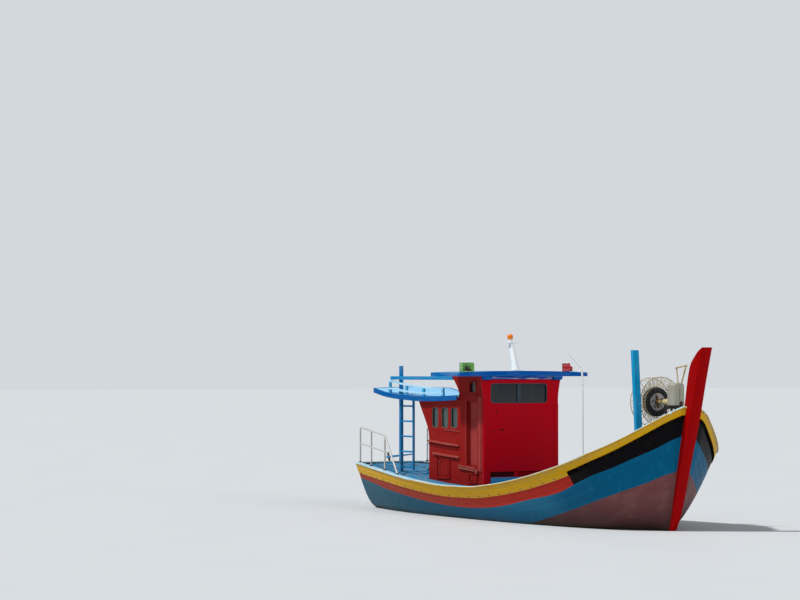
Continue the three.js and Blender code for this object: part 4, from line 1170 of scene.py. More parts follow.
@dataclass
class Deck:
    """Deck planks laid fore and aft, clear of the house and the hatches."""

    plank: float = 0.118
    gap: float = 0.006
    low: float = 0.0005
    high: float = 0.007
    half: float = 1.7
    ends: Pair = (-5.5, 6.1)
    clear: tuple[Vec, ...] = ((-3.15, -2.43, 0.51), (-2.29, -0.01, 0.905), (1.73, 2.57, 0.48))

    def build(self) -> None:
        """Builds all planks as one piece."""
        solid = Solid()
        count = int(self.half / self.plank)
        for n in range(-count, count + 1):
            y0, y1 = (n - 0.5) * self.plank + self.gap / 2, (n + 0.5) * self.plank - self.gap / 2
            stops = [(a, b) for a, b, half in self.clear if min(abs(y0), abs(y1)) < half]
            places = [self.ends[0], *[x for stop in stops for x in stop], self.ends[1]]
            for x0, x1 in zip(places[::2], places[1::2]):
                self.lay(solid, x0, x1, y0, y1)
        solid.piece("deck_planks", "deck", angle=25)

    def lay(self, solid: Solid, x0: float, x1: float, y0: float, y1: float) -> None:
        """Lays one plank, in as many stretches as the edge of the deck leaves."""
        places = spread(x0, x1, max(3, int((x1 - x0) / 0.2)))
        for wide, group in groupby((self.section(x, y0, y1) for x in places), bool):
            rings = list(group)
            if wide and len(rings) > 1:
                solid.loft(rings)

    def section(self, x: float, y0: float, y1: float) -> list[Vec]:
        """Corners of a plank at a place, or none where the edge of the deck leaves no width."""
        half = LINES.deck_half(x) - 0.05
        a, b = max(y0, -half), min(y1, half)
        corners = ((a, self.low), (b, self.low), (b, self.high), (a, self.high))
        return [(x, y, LINES.deck(x, y) + up) for y, up in corners] if b - a >= 0.012 else []


@dataclass
class HouseFront:
    """The crimson front of the wheelhouse with its window, vent and head strip."""

    half: float = 0.95
    wall: float = 0.035
    flare: float = 0.075
    flare_from: float = 2.56
    top: float = 3.028
    window: tuple[float, ...] = (-0.77, 0.67, 2.455, 2.88, 0.075)
    slot: tuple[float, ...] = (-0.78, 0.78, 0.88, 0.985, 0.012)
    mullion: float = -0.04
    seam: float = 2.05
    soffit: float = 3.0285

    def build(self) -> None:
        """Builds the panel and all that is fixed on it."""
        half, top = self.half, self.top
        foot = [(y, LINES.deck(0.0, y) + 0.004) for y in spread(-half, half, 9)]
        flare = follow(((half, self.flare_from), (half + 0.02, 2.74), (half + self.flare, top)))
        panel = Solid()
        openings = [rounded(*self.window), rounded(*self.slot)]
        panel.board(Plane.YZ, [*foot, *mirrored(flare)], -self.wall, 0.0, openings)
        panel.piece("house_front", "crimson", replaces=["wheelhouse_front"], bevel=0.003)
        trim = Solid().box((0.0, 0.16 - half, self.seam), (0.0012, half - 0.20, self.seam + 0.008))
        for s in (-1, 1):
            edges = (
                (half, 0.70), (half - 0.105, 0.70), (half - 0.105, 2.40), (half - 0.085, 2.44), (half, 2.44),
            )
            trim.board(Plane.YZ, [(s * y, z) for y, z in edges], 0.0, 0.009)
        trim.box((0.0, -0.80, 0.992), (0.014, 0.80, 1.022))
        trim.piece("house_front_trim", "crimson", bevel=0.004)
        self.glazing()
        self.vent()
        self.head()

    def glazing(self) -> None:
        """The rubber round the window and its mullion."""
        z0, z1, mid = self.window[2], self.window[3], self.mullion
        gasket = Solid()
        gasket.board(Plane.YZ, rounded(*self.window), -0.028, -0.006, [rounded(*self.window, -0.022)])
        gasket.box((-0.030, mid - 0.036, z0), (-0.014, mid + 0.036, z1))
        gasket.box((-0.026, mid - 0.05, z0), (-0.020, mid - 0.03, z1))
        gasket.piece("window_gasket", "rubber_strip", bevel=0.002)

    def vent(self) -> None:
        """Slats in both halves of the slot, and the bar between them."""
        z0, z1 = self.slot[2:4]
        left, right = -0.183, -0.092
        for name, y0, y1, finish in (("dark", -0.79, left, "wine"), ("red", right, 0.79, "crimson")):
            slats = Solid()
            for z in (z0 + 0.018 + n * 0.032 for n in range(3)):
                slat = [(-0.032, z), (-0.026, z + 0.006), (-0.006, z - 0.010), (-0.012, z - 0.016)]
                slats.board(Plane.XZ, slat, y0, y1)
            slats.piece(f"vent_slats_{name}", finish)
        bar = Solid().box((-0.034, left, z0 - 0.004), (0.005, right, z1 + 0.004))
        bar.piece("vent_divider", "crimson", bevel=0.003)

    def head(self) -> None:
        """The peeled strip under the roof and the beam ends beside it."""
        strip = Solid().box((0.012, -0.775, 2.968), (0.040, 0.775, self.soffit))
        strip.piece("head_strip", "peeled_blue", bevel=0.004)
        ends, z = Solid(), self.soffit
        nose = [(0.001, z), (0.001, 2.952), (0.05, 2.950), (0.085, 2.962), (0.108, 2.985), (0.120, z)]
        for s in (-1, 1):
            ends.board(Plane.XZ, nose, s * 0.785, s * 0.998)
        ends.piece("beam_ends", "roof", bevel=0.008)


@dataclass
class HouseSide:
    """A side of the wheelhouse: door, porthole, sill, corner board and panels."""

    face: float = 0.95
    wall: float = 0.035
    door: tuple[float, ...] = (-0.70, -0.27, 1.12, 2.52)
    port: tuple[float, ...] = (-0.57, -0.32, 2.69, 2.905, 0.045)
    proud: float = -0.001

    def build(self) -> None:
        """Builds both sides."""
        for side, s in SIDES.items():
            self.panel(side, s)
            self.corner(side, s)
            self.trims(side, s)
            self.leaf(side, s)

    def panel(self, side: str, s: int) -> None:
        """The wall itself, swept out under the roof at its aft edge."""
        sweep = follow(((-1.30, 3.028), (-1.20, 2.93), (-1.12, 2.845), (-1.043, 2.75), (-0.99, 2.64)))
        foot = [(x, LINES.deck(x, self.face) + 0.004) for x in (-0.99, -0.5, -0.0354)]
        outline = [(-0.0354, 3.028), *sweep, *foot]
        panel = Siding(self.face, s)
        panel.plank(outline, 0.0, -self.wall, rounded(*self.door, 0.012), rounded(*self.port))
        name = f"wheelhouse_side_{side}"
        panel.piece(f"house_side_{side}", "brick", replaces=[name], bevel=0.004)

    def corner(self, side: str, s: int) -> None:
        """Corner board, door stops and the sill under the door."""
        x0, x1, z0, z1 = self.door
        corner, sill, on = Siding(self.face, s), Siding(self.face, s), self.proud
        corner.plank(rounded(-0.215, -0.045, 0.98, 2.60, 0.01), on, 0.014)
        corner.plank(rounded(-0.180, -0.080, 1.00, 2.58, 0.02), 0.010, 0.026)
        corner.plank(rounded(x0 - 0.03, x0 - 0.003, z0, z1 + 0.02, 0.004), on, 0.006)
        corner.plank(rounded(x1 + 0.004, x1 + 0.03, z0, z1 + 0.02, 0.004), on, 0.008)
        corner.piece(f"house_corner_{side}", "door_red", bevel=0.004)
        sill.plank([(-0.97, 1.045), (-0.30, 0.985), (-0.30, 1.055), (-0.97, 1.105)], on, 0.05)
        sill.plank([(-0.98, 1.10), (-0.29, 1.05), (-0.29, 1.07), (-0.98, 1.12)], on, 0.064)
        sill.block(-0.285, -0.19, 0.95, 1.045, on, 0.05)
        sill.piece(f"house_sill_{side}", "ledge", bevel=0.004)

    def trims(self, side: str, s: int) -> None:
        """Lower panel, head board, door reveal, porthole rim and the screws in them."""
        x0, x1, z0, z1 = self.door
        trim, on = Siding(self.face, s), self.proud
        trim.frame((-0.56, -0.27, 0.775, 0.925, 0.006), 0.035, on, 0.022)
        trim.plank(rounded(-0.54, -0.29, 0.795, 0.905, 0.006), on, 0.010)
        trim.block(-0.985, -0.24, 2.59, 2.64, on, 0.016)
        for deep, wide in ((0.025, 0.03), (0.047, 0.05)):
            trim.block(x0 + 0.0005, x0 + wide, z0 + 0.001, z1 - 0.001, -0.067, -deep)
            trim.block(x0 + wide, x1 - 0.0005, z1 - wide, z1 - 0.0005, -0.067, -deep)
            trim.block(x1 - wide * 0.5, x1 - 0.0005, z0 + 0.001, z1 - wide, -0.067, -deep)
        trim.piece(f"house_trim_{side}", "brick", bevel=0.004)
        rim = Siding(self.face, s).frame(self.port, 0.022, -0.002, 0.010)
        rim.piece(f"porthole_rim_{side}", "brick", bevel=0.003)
        screws = Siding(self.face, s)
        a, b, c, d, _ = self.port
        for x in spread(a, b, 3):
            for z in (c - 0.012, d + 0.012):
                screws.bolt((x, screws.out(0.009), z), (0, s, 0), 0.005, 0.003)
        for x in spread(-0.95, -0.28, 6):
            screws.bolt((x, screws.out(0.014), 2.615), (0, s, 0), 0.007, 0.004)
        screws.piece(f"house_screws_{side}", "bolt")

    def leaf(self, side: str, s: int) -> None:
        """The sliding door: a framed leaf with a raised panel and a grip."""
        node, body = f"sliding_door_{side}", f"door_{side}"
        low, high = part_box(node)
        inner, outer = sorted((abs(low.y), abs(high.y)))
        thick = outer - inner
        x0, x1, z0, z1 = self.door
        leaf, grip, x = Siding(outer, s), Siding(outer, s), x1 - 0.095
        leaf.block(low.x, high.x, low.z, high.z, -thick, 0.026 - thick)
        leaf.block(x0 + 0.012, x1 - 0.012, z0 + 0.012, z1 - 0.012, 0.02 - thick, -0.006)
        leaf.frame((x0 + 0.075, x1 - 0.075, z0 + 0.09, z1 - 0.09, 0.006), 0.06, -0.012, 0.0)
        leaf.piece(f"door_leaf_{side}", "door_red", body, [node], bevel=0.004)
        grip.plank(rounded(x1 - 0.09, x1 - 0.066, 1.895, 1.99, 0.004), -0.004, 0.002)
        grip.plank(rounded(x1 - 0.083, x1 - 0.073, 1.73, 1.895, 0.004), -0.004, 0.002)
        pull = ((0.001, 1.88), (-0.028, 1.90), (-0.028, 1.98), (0.001, 2.00))
        grip.tube(curve([(x, s * (inner + depth), z) for depth, z in pull], 4), 0.006, 8)
        grip.piece(f"door_grip_{side}", "bolt", body)


@dataclass
class CabinSide:
    """A side of the aft cabin: windows, mouldings and the framed side hatch."""

    face: float = 0.93
    wall: float = 0.035
    fore: float = -0.9924
    aft: float = -2.31
    windows: tuple[Pair, ...] = ((-2.185, -1.915), (-1.79, -1.5), (-1.39, -1.11))
    window_z: Vec = (1.905, 2.345, 0.06)
    hatch: tuple[float, ...] = (-1.9, -1.48, 0.85, 1.24)
    door: tuple[float, ...] = (-0.33, 0.33, 1.07, 2.44)

    def build(self) -> None:
        """Builds both sides and the after wall."""
        for side, s in SIDES.items():
            self.panel(side, s)
            self.trims(side, s)
            self.hatch_door(side, s)
        self.after_wall()

    def panel(self, side: str, s: int) -> None:
        """The wall, its aft edge swept up to the canopy."""
        z0, z1, r = self.window_z
        top = [(x, CANOPY.under(x, self.face) - 0.008) for x in spread(self.fore, -2.79, 12)]
        sweep = follow((top[-1], (-2.62, 2.27), (-2.47, 2.06), (-2.35, 1.86), (self.aft, 1.68)))
        foot = [(x, LINES.deck(x, self.face) + 0.004) for x in (self.aft, -1.65, self.fore)]
        holes = [*[rounded(a, b, z0, z1, r) for a, b in self.windows], rounded(*self.hatch, 0.006)]
        panel = Siding(self.face, s).plank([*top[:-1], *sweep, *foot], 0.0, -self.wall, *holes)
        panel.piece(f"cabin_wall_{side}", "brick", replaces=[f"cabin_side_{side}"], bevel=0.004)

    def strip(self, solid: Siding, x0: float, high: float, tall: float, proud: float) -> None:
        """Adds a moulding that follows the sheer.

        Args:
            solid: The siding that it is added to.
            x0: Its aft end.
            high: Height of its foot above the sheer.
            tall: Its own height.
            proud: How far it stands off the wall.
        """
        near, far = solid.out(-0.001), solid.out(proud)
        section = ((near, 0.0), (far, tall * 0.12), (far, tall * 0.7), (near, tall))
        solid.loft(
            [[(x, y, LINES.sheer(x) + high + up) for y, up in section] for x in spread(x0, -0.992, 12)]
        )

    def trims(self, side: str, s: int) -> None:
        """Mouldings, the frame of the hatch and the window rims."""
        ledge, trim, rims = (Siding(self.face, s) for _ in range(3))
        self.strip(ledge, -2.30, 0.775, 0.05, 0.06)
        self.strip(ledge, -1.62, 1.095, 0.024, 0.022)
        self.strip(ledge, -2.10, 0.52, 0.055, 0.055)
        ledge.piece(f"cabin_ledges_{side}", "ledge", bevel=0.003)
        self.strip(trim, -2.30, 0.705, 0.055, 0.02)
        self.strip(trim, -2.06, 0.465, 0.045, 0.02)
        x0, x1, z0, z1 = self.hatch
        trim.frame((x0 - 0.035, x1 + 0.035, z0 - 0.01, z1 + 0.035, 0.006), 0.05, -0.001, 0.02)
        trim.piece(f"cabin_mouldings_{side}", "brick", bevel=0.003)
        z0, z1, r = self.window_z
        for a, b in self.windows:
            pane = rounded(a, b, z0, z1, r + 0.002, -0.012)
            rims.plank(rounded(a, b, z0, z1, r), -0.024, -0.008, pane)
        rims.piece(f"cabin_window_rims_{side}", "putty", bevel=0.002)

    def hatch_door(self, side: str, s: int) -> None:
        """The hinged hatch: a framed panel, two hinges and a turn button."""
        body = f"side_hatch_{side}"
        low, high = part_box(body)
        inner, outer = sorted((abs(low.y), abs(high.y)))
        door, iron = Siding(outer, s), Siding(outer, s)
        door.block(low.x, high.x, low.z, high.z, inner - outer, -0.006)
        hole = (low.x + 0.055, high.x - 0.055, low.z + 0.055, high.z - 0.055, 0.004)
        door.frame(hole, 0.054, -0.010, 0.002)
        door.piece(f"hatch_panel_{side}", "brick", body, [body], bevel=0.003)
        for z in (low.z + 0.07, high.z - 0.07):
            iron.block(low.x + 0.004, low.x + 0.085, z - 0.012, z + 0.012, 0.001, 0.005)
            for x in (low.x + 0.035, low.x + 0.07):
                iron.bolt((x, iron.out(0.004), z), (0, s, 0), 0.005, 0.003)
        button = ((0, 0.012), (0.012, 0.012), (0.016, 0.008))
        iron.turned((high.x - 0.03, iron.out(0.001), (low.z + high.z) / 2), (0, s, 0), button, 12)
        iron.piece(f"hatch_iron_{side}", "bolt", body)

    def after_wall(self) -> None:
        """The after wall with its door of upright boards."""
        half, aft = self.face - self.wall - 0.0004, self.aft
        feet = [(y, LINES.deck(aft, y) + 0.004) for y in spread(-half, half, 9)]
        head = [(y, CANOPY.under(aft, y) - 0.006) for y in spread(half, -half, 15)]
        wall = Solid().board(Plane.YZ, [*feet, *head], aft, aft + 0.035, [rounded(*self.door, 0.006)])
        wall.piece("cabin_after_wall", "brick", replaces=["cabin_back"], bevel=0.004)
        low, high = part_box("cabin_door")
        door, iron, middle = Solid(), Solid(), (low.z + high.z) / 2
        edges, bars = spread(low.y, high.y, 7), (low.z + 0.13, high.z - 0.13)
        for a, b in zip(edges, edges[1:]):
            door.box((low.x + 0.003, a + 0.0012, low.z), (high.x, b - 0.0012, high.z))
        for z in (*bars, middle):
            door.box((low.x, low.y + 0.02, z - 0.05), (low.x + 0.006, high.y - 0.02, z + 0.05))
        door.piece("cabin_door_boards", "door_red", "cabin_door", ["cabin_door"], bevel=0.002)
        knob = ((0, 0.022), (0.004, 0.022), (0.006, 0.01), (0.03, 0.01), (0.036, 0.022), (0.05, 0.018))
        iron.turned((low.x + 0.002, low.y + 0.06, middle + 0.12), (-1, 0, 0), knob, 16)
        for z in bars:
            iron.box((low.x - 0.003, high.y - 0.20, z - 0.016), (low.x + 0.001, high.y - 0.004, z + 0.016))
            for y in (high.y - 0.17, high.y - 0.10, high.y - 0.04):
                iron.bolt((low.x - 0.003, y, z), (-1, 0, 0), 0.006, 0.004)
        iron.piece("cabin_door_iron", "bolt", "cabin_door")


@dataclass
class Roof:
    """The wheelhouse roof: a crowned slab of boards with wide wings."""

    fore: float = 0.135
    aft: float = -1.06
    half: float = 1.63
    under: float = 3.03
    edge: float = 0.08
    crown: float = 0.035

    def top(self, y: float) -> float:
        """Height of its top."""
        return self.under + self.edge + self.crown * (1 - (y / self.half) ** 2)

    def section(self, inset: float, foot: float, lift: float) -> list[Pair]:
        """Outline across the boat: a flat underside and a crowned top."""
        half, z = self.half - inset, self.under + foot
        return [(-half, z), (half, z), *[(y, self.top(y) + lift) for y in spread(half, -half, 33)]]

    def build(self) -> None:
        """Builds the slab and the edge boards."""
        slab = Solid().board(Plane.YZ, self.section(0.003, 0.004, 0.0), self.aft + 0.003, self.fore - 0.003)
        slab.piece("roof_slab", "roof_top", replaces=["wheelhouse_roof"], bevel=0.006)
        board, thick = self.section(0.0, 0.0, 0.002), 0.022
        rim = Solid().board(Plane.YZ, board, self.fore - thick, self.fore)
        rim.piece("roof_front_edge", "roof", bevel=0.005)
        sides = Solid().board(Plane.YZ, board, self.aft, self.aft + thick)
        for y in (self.half, -self.half):
            inner, top = math.copysign(self.half - thick, y), self.top(y) + 0.002
            sides.box((self.aft, y, self.under), (self.fore - thick - 0.0005, inner, top))
        # The side and aft edges take the lighter blue, partly painted light.
        sides.piece("roof_side_edges", "roof_side_lit", bevel=0.005)


@dataclass
class Canopy:
    """The canopy over the cabin and the aft deck, almost flat, with its fascia and rails."""

    fore: float = -0.994
    aft: float = -4.64
    half: float = 1.03
    camber: float = 0.03
    thick: float = 0.045
    fascia: float = 0.1
    lap: float = 0.026
    edge: tuple[Pair, ...] = (
        (-4.64, 2.75), (-4.0, 2.648), (-3.3, 2.598), (-2.5, 2.571), (-1.7, 2.582), (-0.994, 2.608),
    )
    rail_posts: tuple[float, ...] = (-1.68, -2.51, -3.26, -4.0)
    rail_y: float = 0.925

    def __post_init__(self) -> None:
        """Fairs the side edge."""
        self.side = Fair(*zip(*self.edge))

    def top(self, x: float, y: float) -> float:
        """Height of its top."""
        return self.side(x) + self.camber * (1 - (y / self.half) ** 2)

    def under(self, x: float, y: float) -> float:
        """Height of its underside."""
        return self.top(x, y) - self.thick

    def across(self, solid: Solid, x0: float, x1: float, x: float, rise: float, drop: float) -> None:
        """Adds a board across the boat that follows the camber.

        Args:
            solid: What it is added to.
            x0: One face.
            x1: The other face.
            x: The place where the camber is taken.
            rise: Height of its top above the canopy's.
            drop: Depth of its foot below the canopy's top.
        """
        ys = spread(self.lap + 0.001 - self.half, self.half - self.lap - 0.001, 31)
        head, foot = [(y, self.top(x, y) + rise) for y in ys], [(y, self.top(x, y) - drop) for y in ys]
        solid.board(Plane.YZ, [*head, *reversed(foot)], x0, x1)

    def build(self) -> None:
        """Builds the sheet, the fascia boards, the carlines and the rails."""
        xs, ys = spread(self.fore, self.aft, 40), spread(-0.985 * self.half, 0.985 * self.half, 41)
        rings = []
        for x in xs:
            foot = [(x, y, self.under(x, y) + 0.012) for y in ys]
            rings.append([*[(x, y, self.top(x, y)) for y in ys], *reversed(foot)])
        Solid().loft(rings).piece("canopy_sheet", "canopy", replaces=["canopy"], angle=40, bevel=0.003)
        fascia, ribs, inner, foot = Solid(), Solid(), self.half - self.lap, 0.004 - self.fascia
        section = ((self.half, 0.012), (inner, 0.016), (inner, foot), (self.half, foot))
        for s in (-1, 1):
            fascia.loft([[(x, s * y, self.side(x) + up) for y, up in section] for x in xs])
        self.across(fascia, self.aft, self.aft + self.lap, self.aft, 0.006, self.fascia - 0.02)
        x = self.fore - 0.022
        self.across(fascia, x, x + 0.02, x, 0.006, self.fascia - 0.045)
        fascia.piece("canopy_fascia", "fascia", bevel=0.006)
        for x in spread(self.aft + 0.35, -2.5, 5):
            self.across(ribs, x - 0.022, x + 0.022, x, 0.014 - self.thick, self.thick + 0.035)
        ribs.piece("canopy_carlines", "beam", bevel=0.005)
        for side, s in SIDES.items():
            self.rail(side, s)

    def rail_top(self, x: float) -> float:
        """Height of the rail, which rises towards the stern."""
        return self.top(x, self.rail_y) + 0.19 + (self.rail_posts[0] - x) * 0.043

    def rail(self, side: str, s: int) -> None:
        """Builds a rail of two bent boards on four posts."""
        posts, boards, y = Siding(self.rail_y, s), Siding(self.rail_y, s), self.rail_y
        for x in self.rail_posts:
            foot, head = self.top(x, y) - 0.004, self.rail_top(x) - 0.006
            taper = [(x - 0.05, foot), (x + 0.05, foot), (x + 0.028, head), (x - 0.028, head)]
            posts.plank(taper, 0.0, 0.044)
        posts.piece(f"canopy_guard_posts_{side}", "teal", bevel=0.005)
        near, far = boards.out(-0.002), boards.out(0.046)
        for level in (0.42, 1.0):
            rings = []
            for x in spread(self.rail_posts[0] + 0.025, self.rail_posts[-1] - 0.025, 26):
                z = self.top(x, y) + (self.rail_top(x) - self.top(x, y)) * level
                rings.append([(x, near, z - 0.042), (x, far, z - 0.042), (x, far, z), (x, near, z)])
            boards.loft(rings)
        boards.piece(f"canopy_guard_{side}", "guard", replaces=[f"canopy_rail_{side}"], bevel=0.004)


ROOF = Roof()
CANOPY = Canopy()


@dataclass
class QuarterRails:
    """Pipe rails round both quarters, with bent corners and bolted feet."""

    posts: tuple[Pair, ...] = ((-5.48, 1.845), (-4.56, 1.78), (-3.59, 1.695))
    brace: float = -2.84
    inset: float = 0.06
    r: float = 0.019
    mid: float = 0.54

    def build(self) -> None:
        """Builds both rails."""
        for side, s in SIDES.items():
            self.pipe(side, s)
            self.feet(side, s)

    def at(self, x: float, z: float, s: int) -> Vector:
        """A point of the rail's line at a height."""
        return Vector((x, s * (LINES.breadth(x) - self.inset), z))

    def pipe(self, side: str, s: int) -> None:
        """Builds the top and middle pipes, the posts and the brace."""
        pipe = Solid()
        sheer = [LINES.sheer(x) for x, _ in self.posts]
        aft, middle, fore = (self.at(x, z, s) for x, z in self.posts)
        feet = [self.at(x, low, s) for (x, _), low in zip(self.posts, sheer)]
        foot = self.at(self.brace, LINES.sheer(self.brace) + 0.012, s)
        bend = fore + (middle - fore).normalized() * 0.07
        after = fore + (foot - fore).normalized() * 0.07
        rise = aft - Vector((0, 0, 0.08))
        turn = aft + (middle - aft).normalized() * 0.08
        stern = curve([rise, (rise + aft) / 2 * 0.6 + turn * 0.1 + rise * 0.3, turn], 4)
        bow = curve([bend, (bend + after) / 4 + fore * 0.5, after], 4)
        pipe.tube([feet[0], *stern, middle, *bow, foot], self.r, 12)
        mids = [self.at(x, low + (z - low) * self.mid, s) for (x, z), low in zip(self.posts, sheer)]
        ahead = foot.lerp(fore, (mids[2].z - foot.z) / (fore.z - foot.z))
        pipe.tube([*mids, ahead], self.r * 0.85, 10)
        for low, top in ((feet[1], middle), (feet[2], fore)):
            pipe.tube([low, top], self.r, 12)
        pipe.piece(f"quarter_pipe_{side}", "pipe", replaces=[f"quarter_rail_{side}"])

    def feet(self, side: str, s: int) -> None:
        """Builds the bolted feet of the posts and the brace."""
        feet = Solid()
        for x in (*[x for x, _ in self.posts], self.brace):
            at = self.at(x, LINES.sheer(x), s)
            flange = ((-0.004, 0.045), (0.005, 0.045), (0.007, 0.03), (0.026, 0.022))
            feet.turned(at, (0, 0, 1), flange, 20)
            for a in (n * 2.1 + 0.5 for n in range(3)):
                spot = at + Vector((0.034 * math.cos(a), 0.034 * math.sin(a), 0.005))
                feet.bolt(spot, (0, 0, 1), 0.006, 0.005)
        feet.piece(f"quarter_feet_{side}", "iron")


@dataclass
class Hatches:
    """Boarded lids with ring pulls on both fish hatches."""

    thick: float = 0.034
    ring: float = 0.045

    def build(self) -> None:
        """Builds both lids."""
        self.lid("aft", -1)
        self.lid("fore", 1)

    def lid(self, name: str, way: int) -> None:
        """Builds a lid that rises forward, way 1, or aft, way -1."""
        body = f"hatch_lid_{name}"
        low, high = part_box(body)
        lid, iron, thick = Solid(), Solid(), self.thick
        climb = high.z - low.z - thick
        edges = spread(low.y, high.y, 9)

        def under(x: float) -> float:
            """Height of the lid's underside."""
            share = (x - low.x) / (high.x - low.x)
            return low.z + climb * (share if way > 0 else 1 - share)

        for a, b in zip(edges, edges[1:]):
            left, right, head = a + 0.0015, b - 0.0015, thick - 0.006
            corners = ((left, 0.0), (right, 0.0), (right, head), (left, head))
            lid.loft([[(x, y, under(x) + up) for y, up in corners] for x in (low.x, high.x)])
        for x in (low.x + 0.09, high.x - 0.09):
            z = under(x) + thick - 0.008
            lid.box((x - 0.045, low.y + 0.01, z), (x + 0.045, high.y - 0.01, z + 0.010))
        lid.piece(f"hatch_boards_{name}", "lid", body, [body], bevel=0.003)
        x, r = (low.x + high.x) / 2, self.ring
        z = under(x) + thick
        for y in (low.y + 0.14, high.y - 0.14):
            iron.tube([(x + r * math.cos(t), y + r * math.sin(t), z) for t in turns(20)], 0.005, 8, loop=True)
            iron.turned((x - r, y, z - 0.008), (0, 0, 1), ((0, 0.022), (0.004, 0.022), (0.012, 0.008)), 14)
        iron.piece(f"hatch_rings_{name}", "iron", body)


@dataclass
class Hauler:
    """Net hauler: tyre, hub, cone, wire hoops, gearbox and its handle."""

    y: float = 0.606
    z: float = 2.516
    drum: float = 4.1
    tyre_r: float = 0.298
    near: Pair = (4.272, 0.503)
    far: Pair = (3.901, 0.484)
    box: tuple[float, ...] = (4.648, 4.923, 0.116, 2.45, 2.905)
    handle: tuple[Pair, ...] = ((4.845, 2.875), (5.011, 3.249), (4.687, 3.205), (4.738, 2.875))
    handle_y: float = 0.698
    body: str = "hauler_drum"

    def build(self) -> None:
        """Builds the turning drum and the fixed gearbox."""
        self.tyre()
        self.hub()
        self.wires()
        self.gearbox()

    def about(self, x: float, r: float, a: float) -> Vec:
        """A point at a radius and an angle about the shaft."""
        return (x, self.y + r * math.cos(a), self.z + r * math.sin(a))

    def tyre(self) -> None:
        """The tyre with its two rows of lugs."""
        x, r = self.drum, self.tyre_r
        half = (
            (0.016, r), (0.018, r - 0.01), (0.028, r - 0.01), (0.03, r), (0.046, r), (0.05, r - 0.002),
            (0.062, r - 0.012), (0.072, 0.26), (0.076, 0.23), (0.07, 0.195), (0.045, 0.172),
        )
        profile = [*[(-a, b) for a, b in reversed(half)], *half]
        tyre = Solid().turned((x, self.y, self.z), (1, 0, 0), profile, 64)
        for a in turns(36):
            for side in (-0.058, 0.058):
                lug = ((0, 0.008), (0.018, 0.008))
                tyre.turned(self.about(x + side, r - 0.02, a), (0, math.cos(a), math.sin(a)), lug, 6)
        tyre.piece("hauler_tyre", "tyre", self.body, ["hauler_drum"], angle=50)

    def hub(self) -> None:
        """The dished hub with dark discs painted as the shade in its holes, the boss and the shaft cone."""
        x, at, ahead = self.drum, (self.drum, self.y, self.z), (1, 0, 0)
        dish = (
            (0.040, 0.05), (0.044, 0.176), (0.064, 0.182), (0.070, 0.174), (0.064, 0.160), (0.052, 0.150),
            (0.050, 0.075), (0.062, 0.06),
        )
        hub = Solid().turned(at, (-1, 0, 0), dish, 40).turned(at, ahead, dish, 40)
        # The hub's lighter grey is painted light on its shaded face.
        hub.piece("hauler_hub", "hub_grey_lit", self.body, angle=40)
        # Dark discs where the hub's holes are: painted shade, not real openings.
        holes, hole = Solid(), ((0, 0.018), (0.006, 0.018), (0.0065, 0.013))
        for a in turns(5):
            holes.turned(self.about(x + 0.049, 0.118, a + 0.5), ahead, hole, 16)
        holes.piece("hauler_hub_hole_shade", "bolt", self.body)
        boss = Solid().turned(at, ahead, ((0.05, 0.066), (0.085, 0.062), (0.13, 0.05), (0.15, 0.04)), 24)
        for a in (1.75, 1.75 + math.pi):
            boss.tube([self.about(x + 0.07, 0.03, a), self.about(x + 0.062, 0.12, a)], 0.022, 8)
        boss.piece("hauler_boss", "rusty", self.body, angle=40)
        flare = ((0.13, 0.036), (0.17, 0.042), (0.3, 0.058), (0.42, 0.07), (0.5, 0.073), (0.54, 0.071))
        cone = Solid().turned(at, ahead, flare, 28)
        cone.tube([(self.far[0] - 0.06, self.y, self.z), at], 0.028, 16)
        cone.piece("hauler_cone", "tan_iron", self.body, angle=40)

    def wires(self) -> None:
        """The hoops, the wires strung between them and the spokes."""
        cage, bars = Solid(), Solid()
        near, far, start = self.near, self.far, self.tyre_r + 0.016
        hold, back = (self.drum + 0.07, start), (self.drum - 0.07, start)
        hoops = (
            (*near, 0.0085, 8), (*far, 0.008, 8), (far[0], 0.22, 0.005, 6),
            (*hold, 0.005, 6), (*back, 0.005, 6),
        )
        for x, r, wire, sides in hoops:
            cage.tube([self.about(x, r, a) for a in turns(48)], wire, sides, loop=True)
        for n, a in enumerate(turns(72)):
            b = a + 0.02 * math.sin(n * 2.4)
            spans = [(hold, a, (near[0] - 0.012, near[1]), b, 0.0065)]
            spans += [(back, a, far, b, 0.0045)] if n % 2 else []
            spans += [(near, b, far, a, 0.0045), (far, a, (far[0], 0.02), a, 0.005)] if n % 6 == 0 else []
            for one, turn, other, end, wire in spans:
                cage.tube([self.about(*one, turn), self.about(*other, end)], wire, 5)
        cage.piece("hauler_cage", "wire", self.body)
        for a in (math.radians(30 + 90 * n) for n in range(4)):
            root = self.about(self.drum + 0.12, 0.045, a)
            tip = self.about(self.drum + 0.09, self.tyre_r - 0.02, a)
            bars.tube([root, tip], 0.006, 8)
        bars.piece("hauler_spokes", "iron", self.body)

    def loaf(self, inset: float, r: float) -> list[Pair]:
        """Outline of the gearbox, with a square foot and a round top."""
        _, _, half, z0, z1 = self.box
        w, top = half - inset, z1 - inset
        quarter = map(math.radians, range(0, 91, 10))
        arc = [(w - r + r * math.cos(a), top - r + r * math.sin(a)) for a in quarter]
        return [(self.y + a, b) for a, b in mirrored([(w, z0 + inset), *arc])]

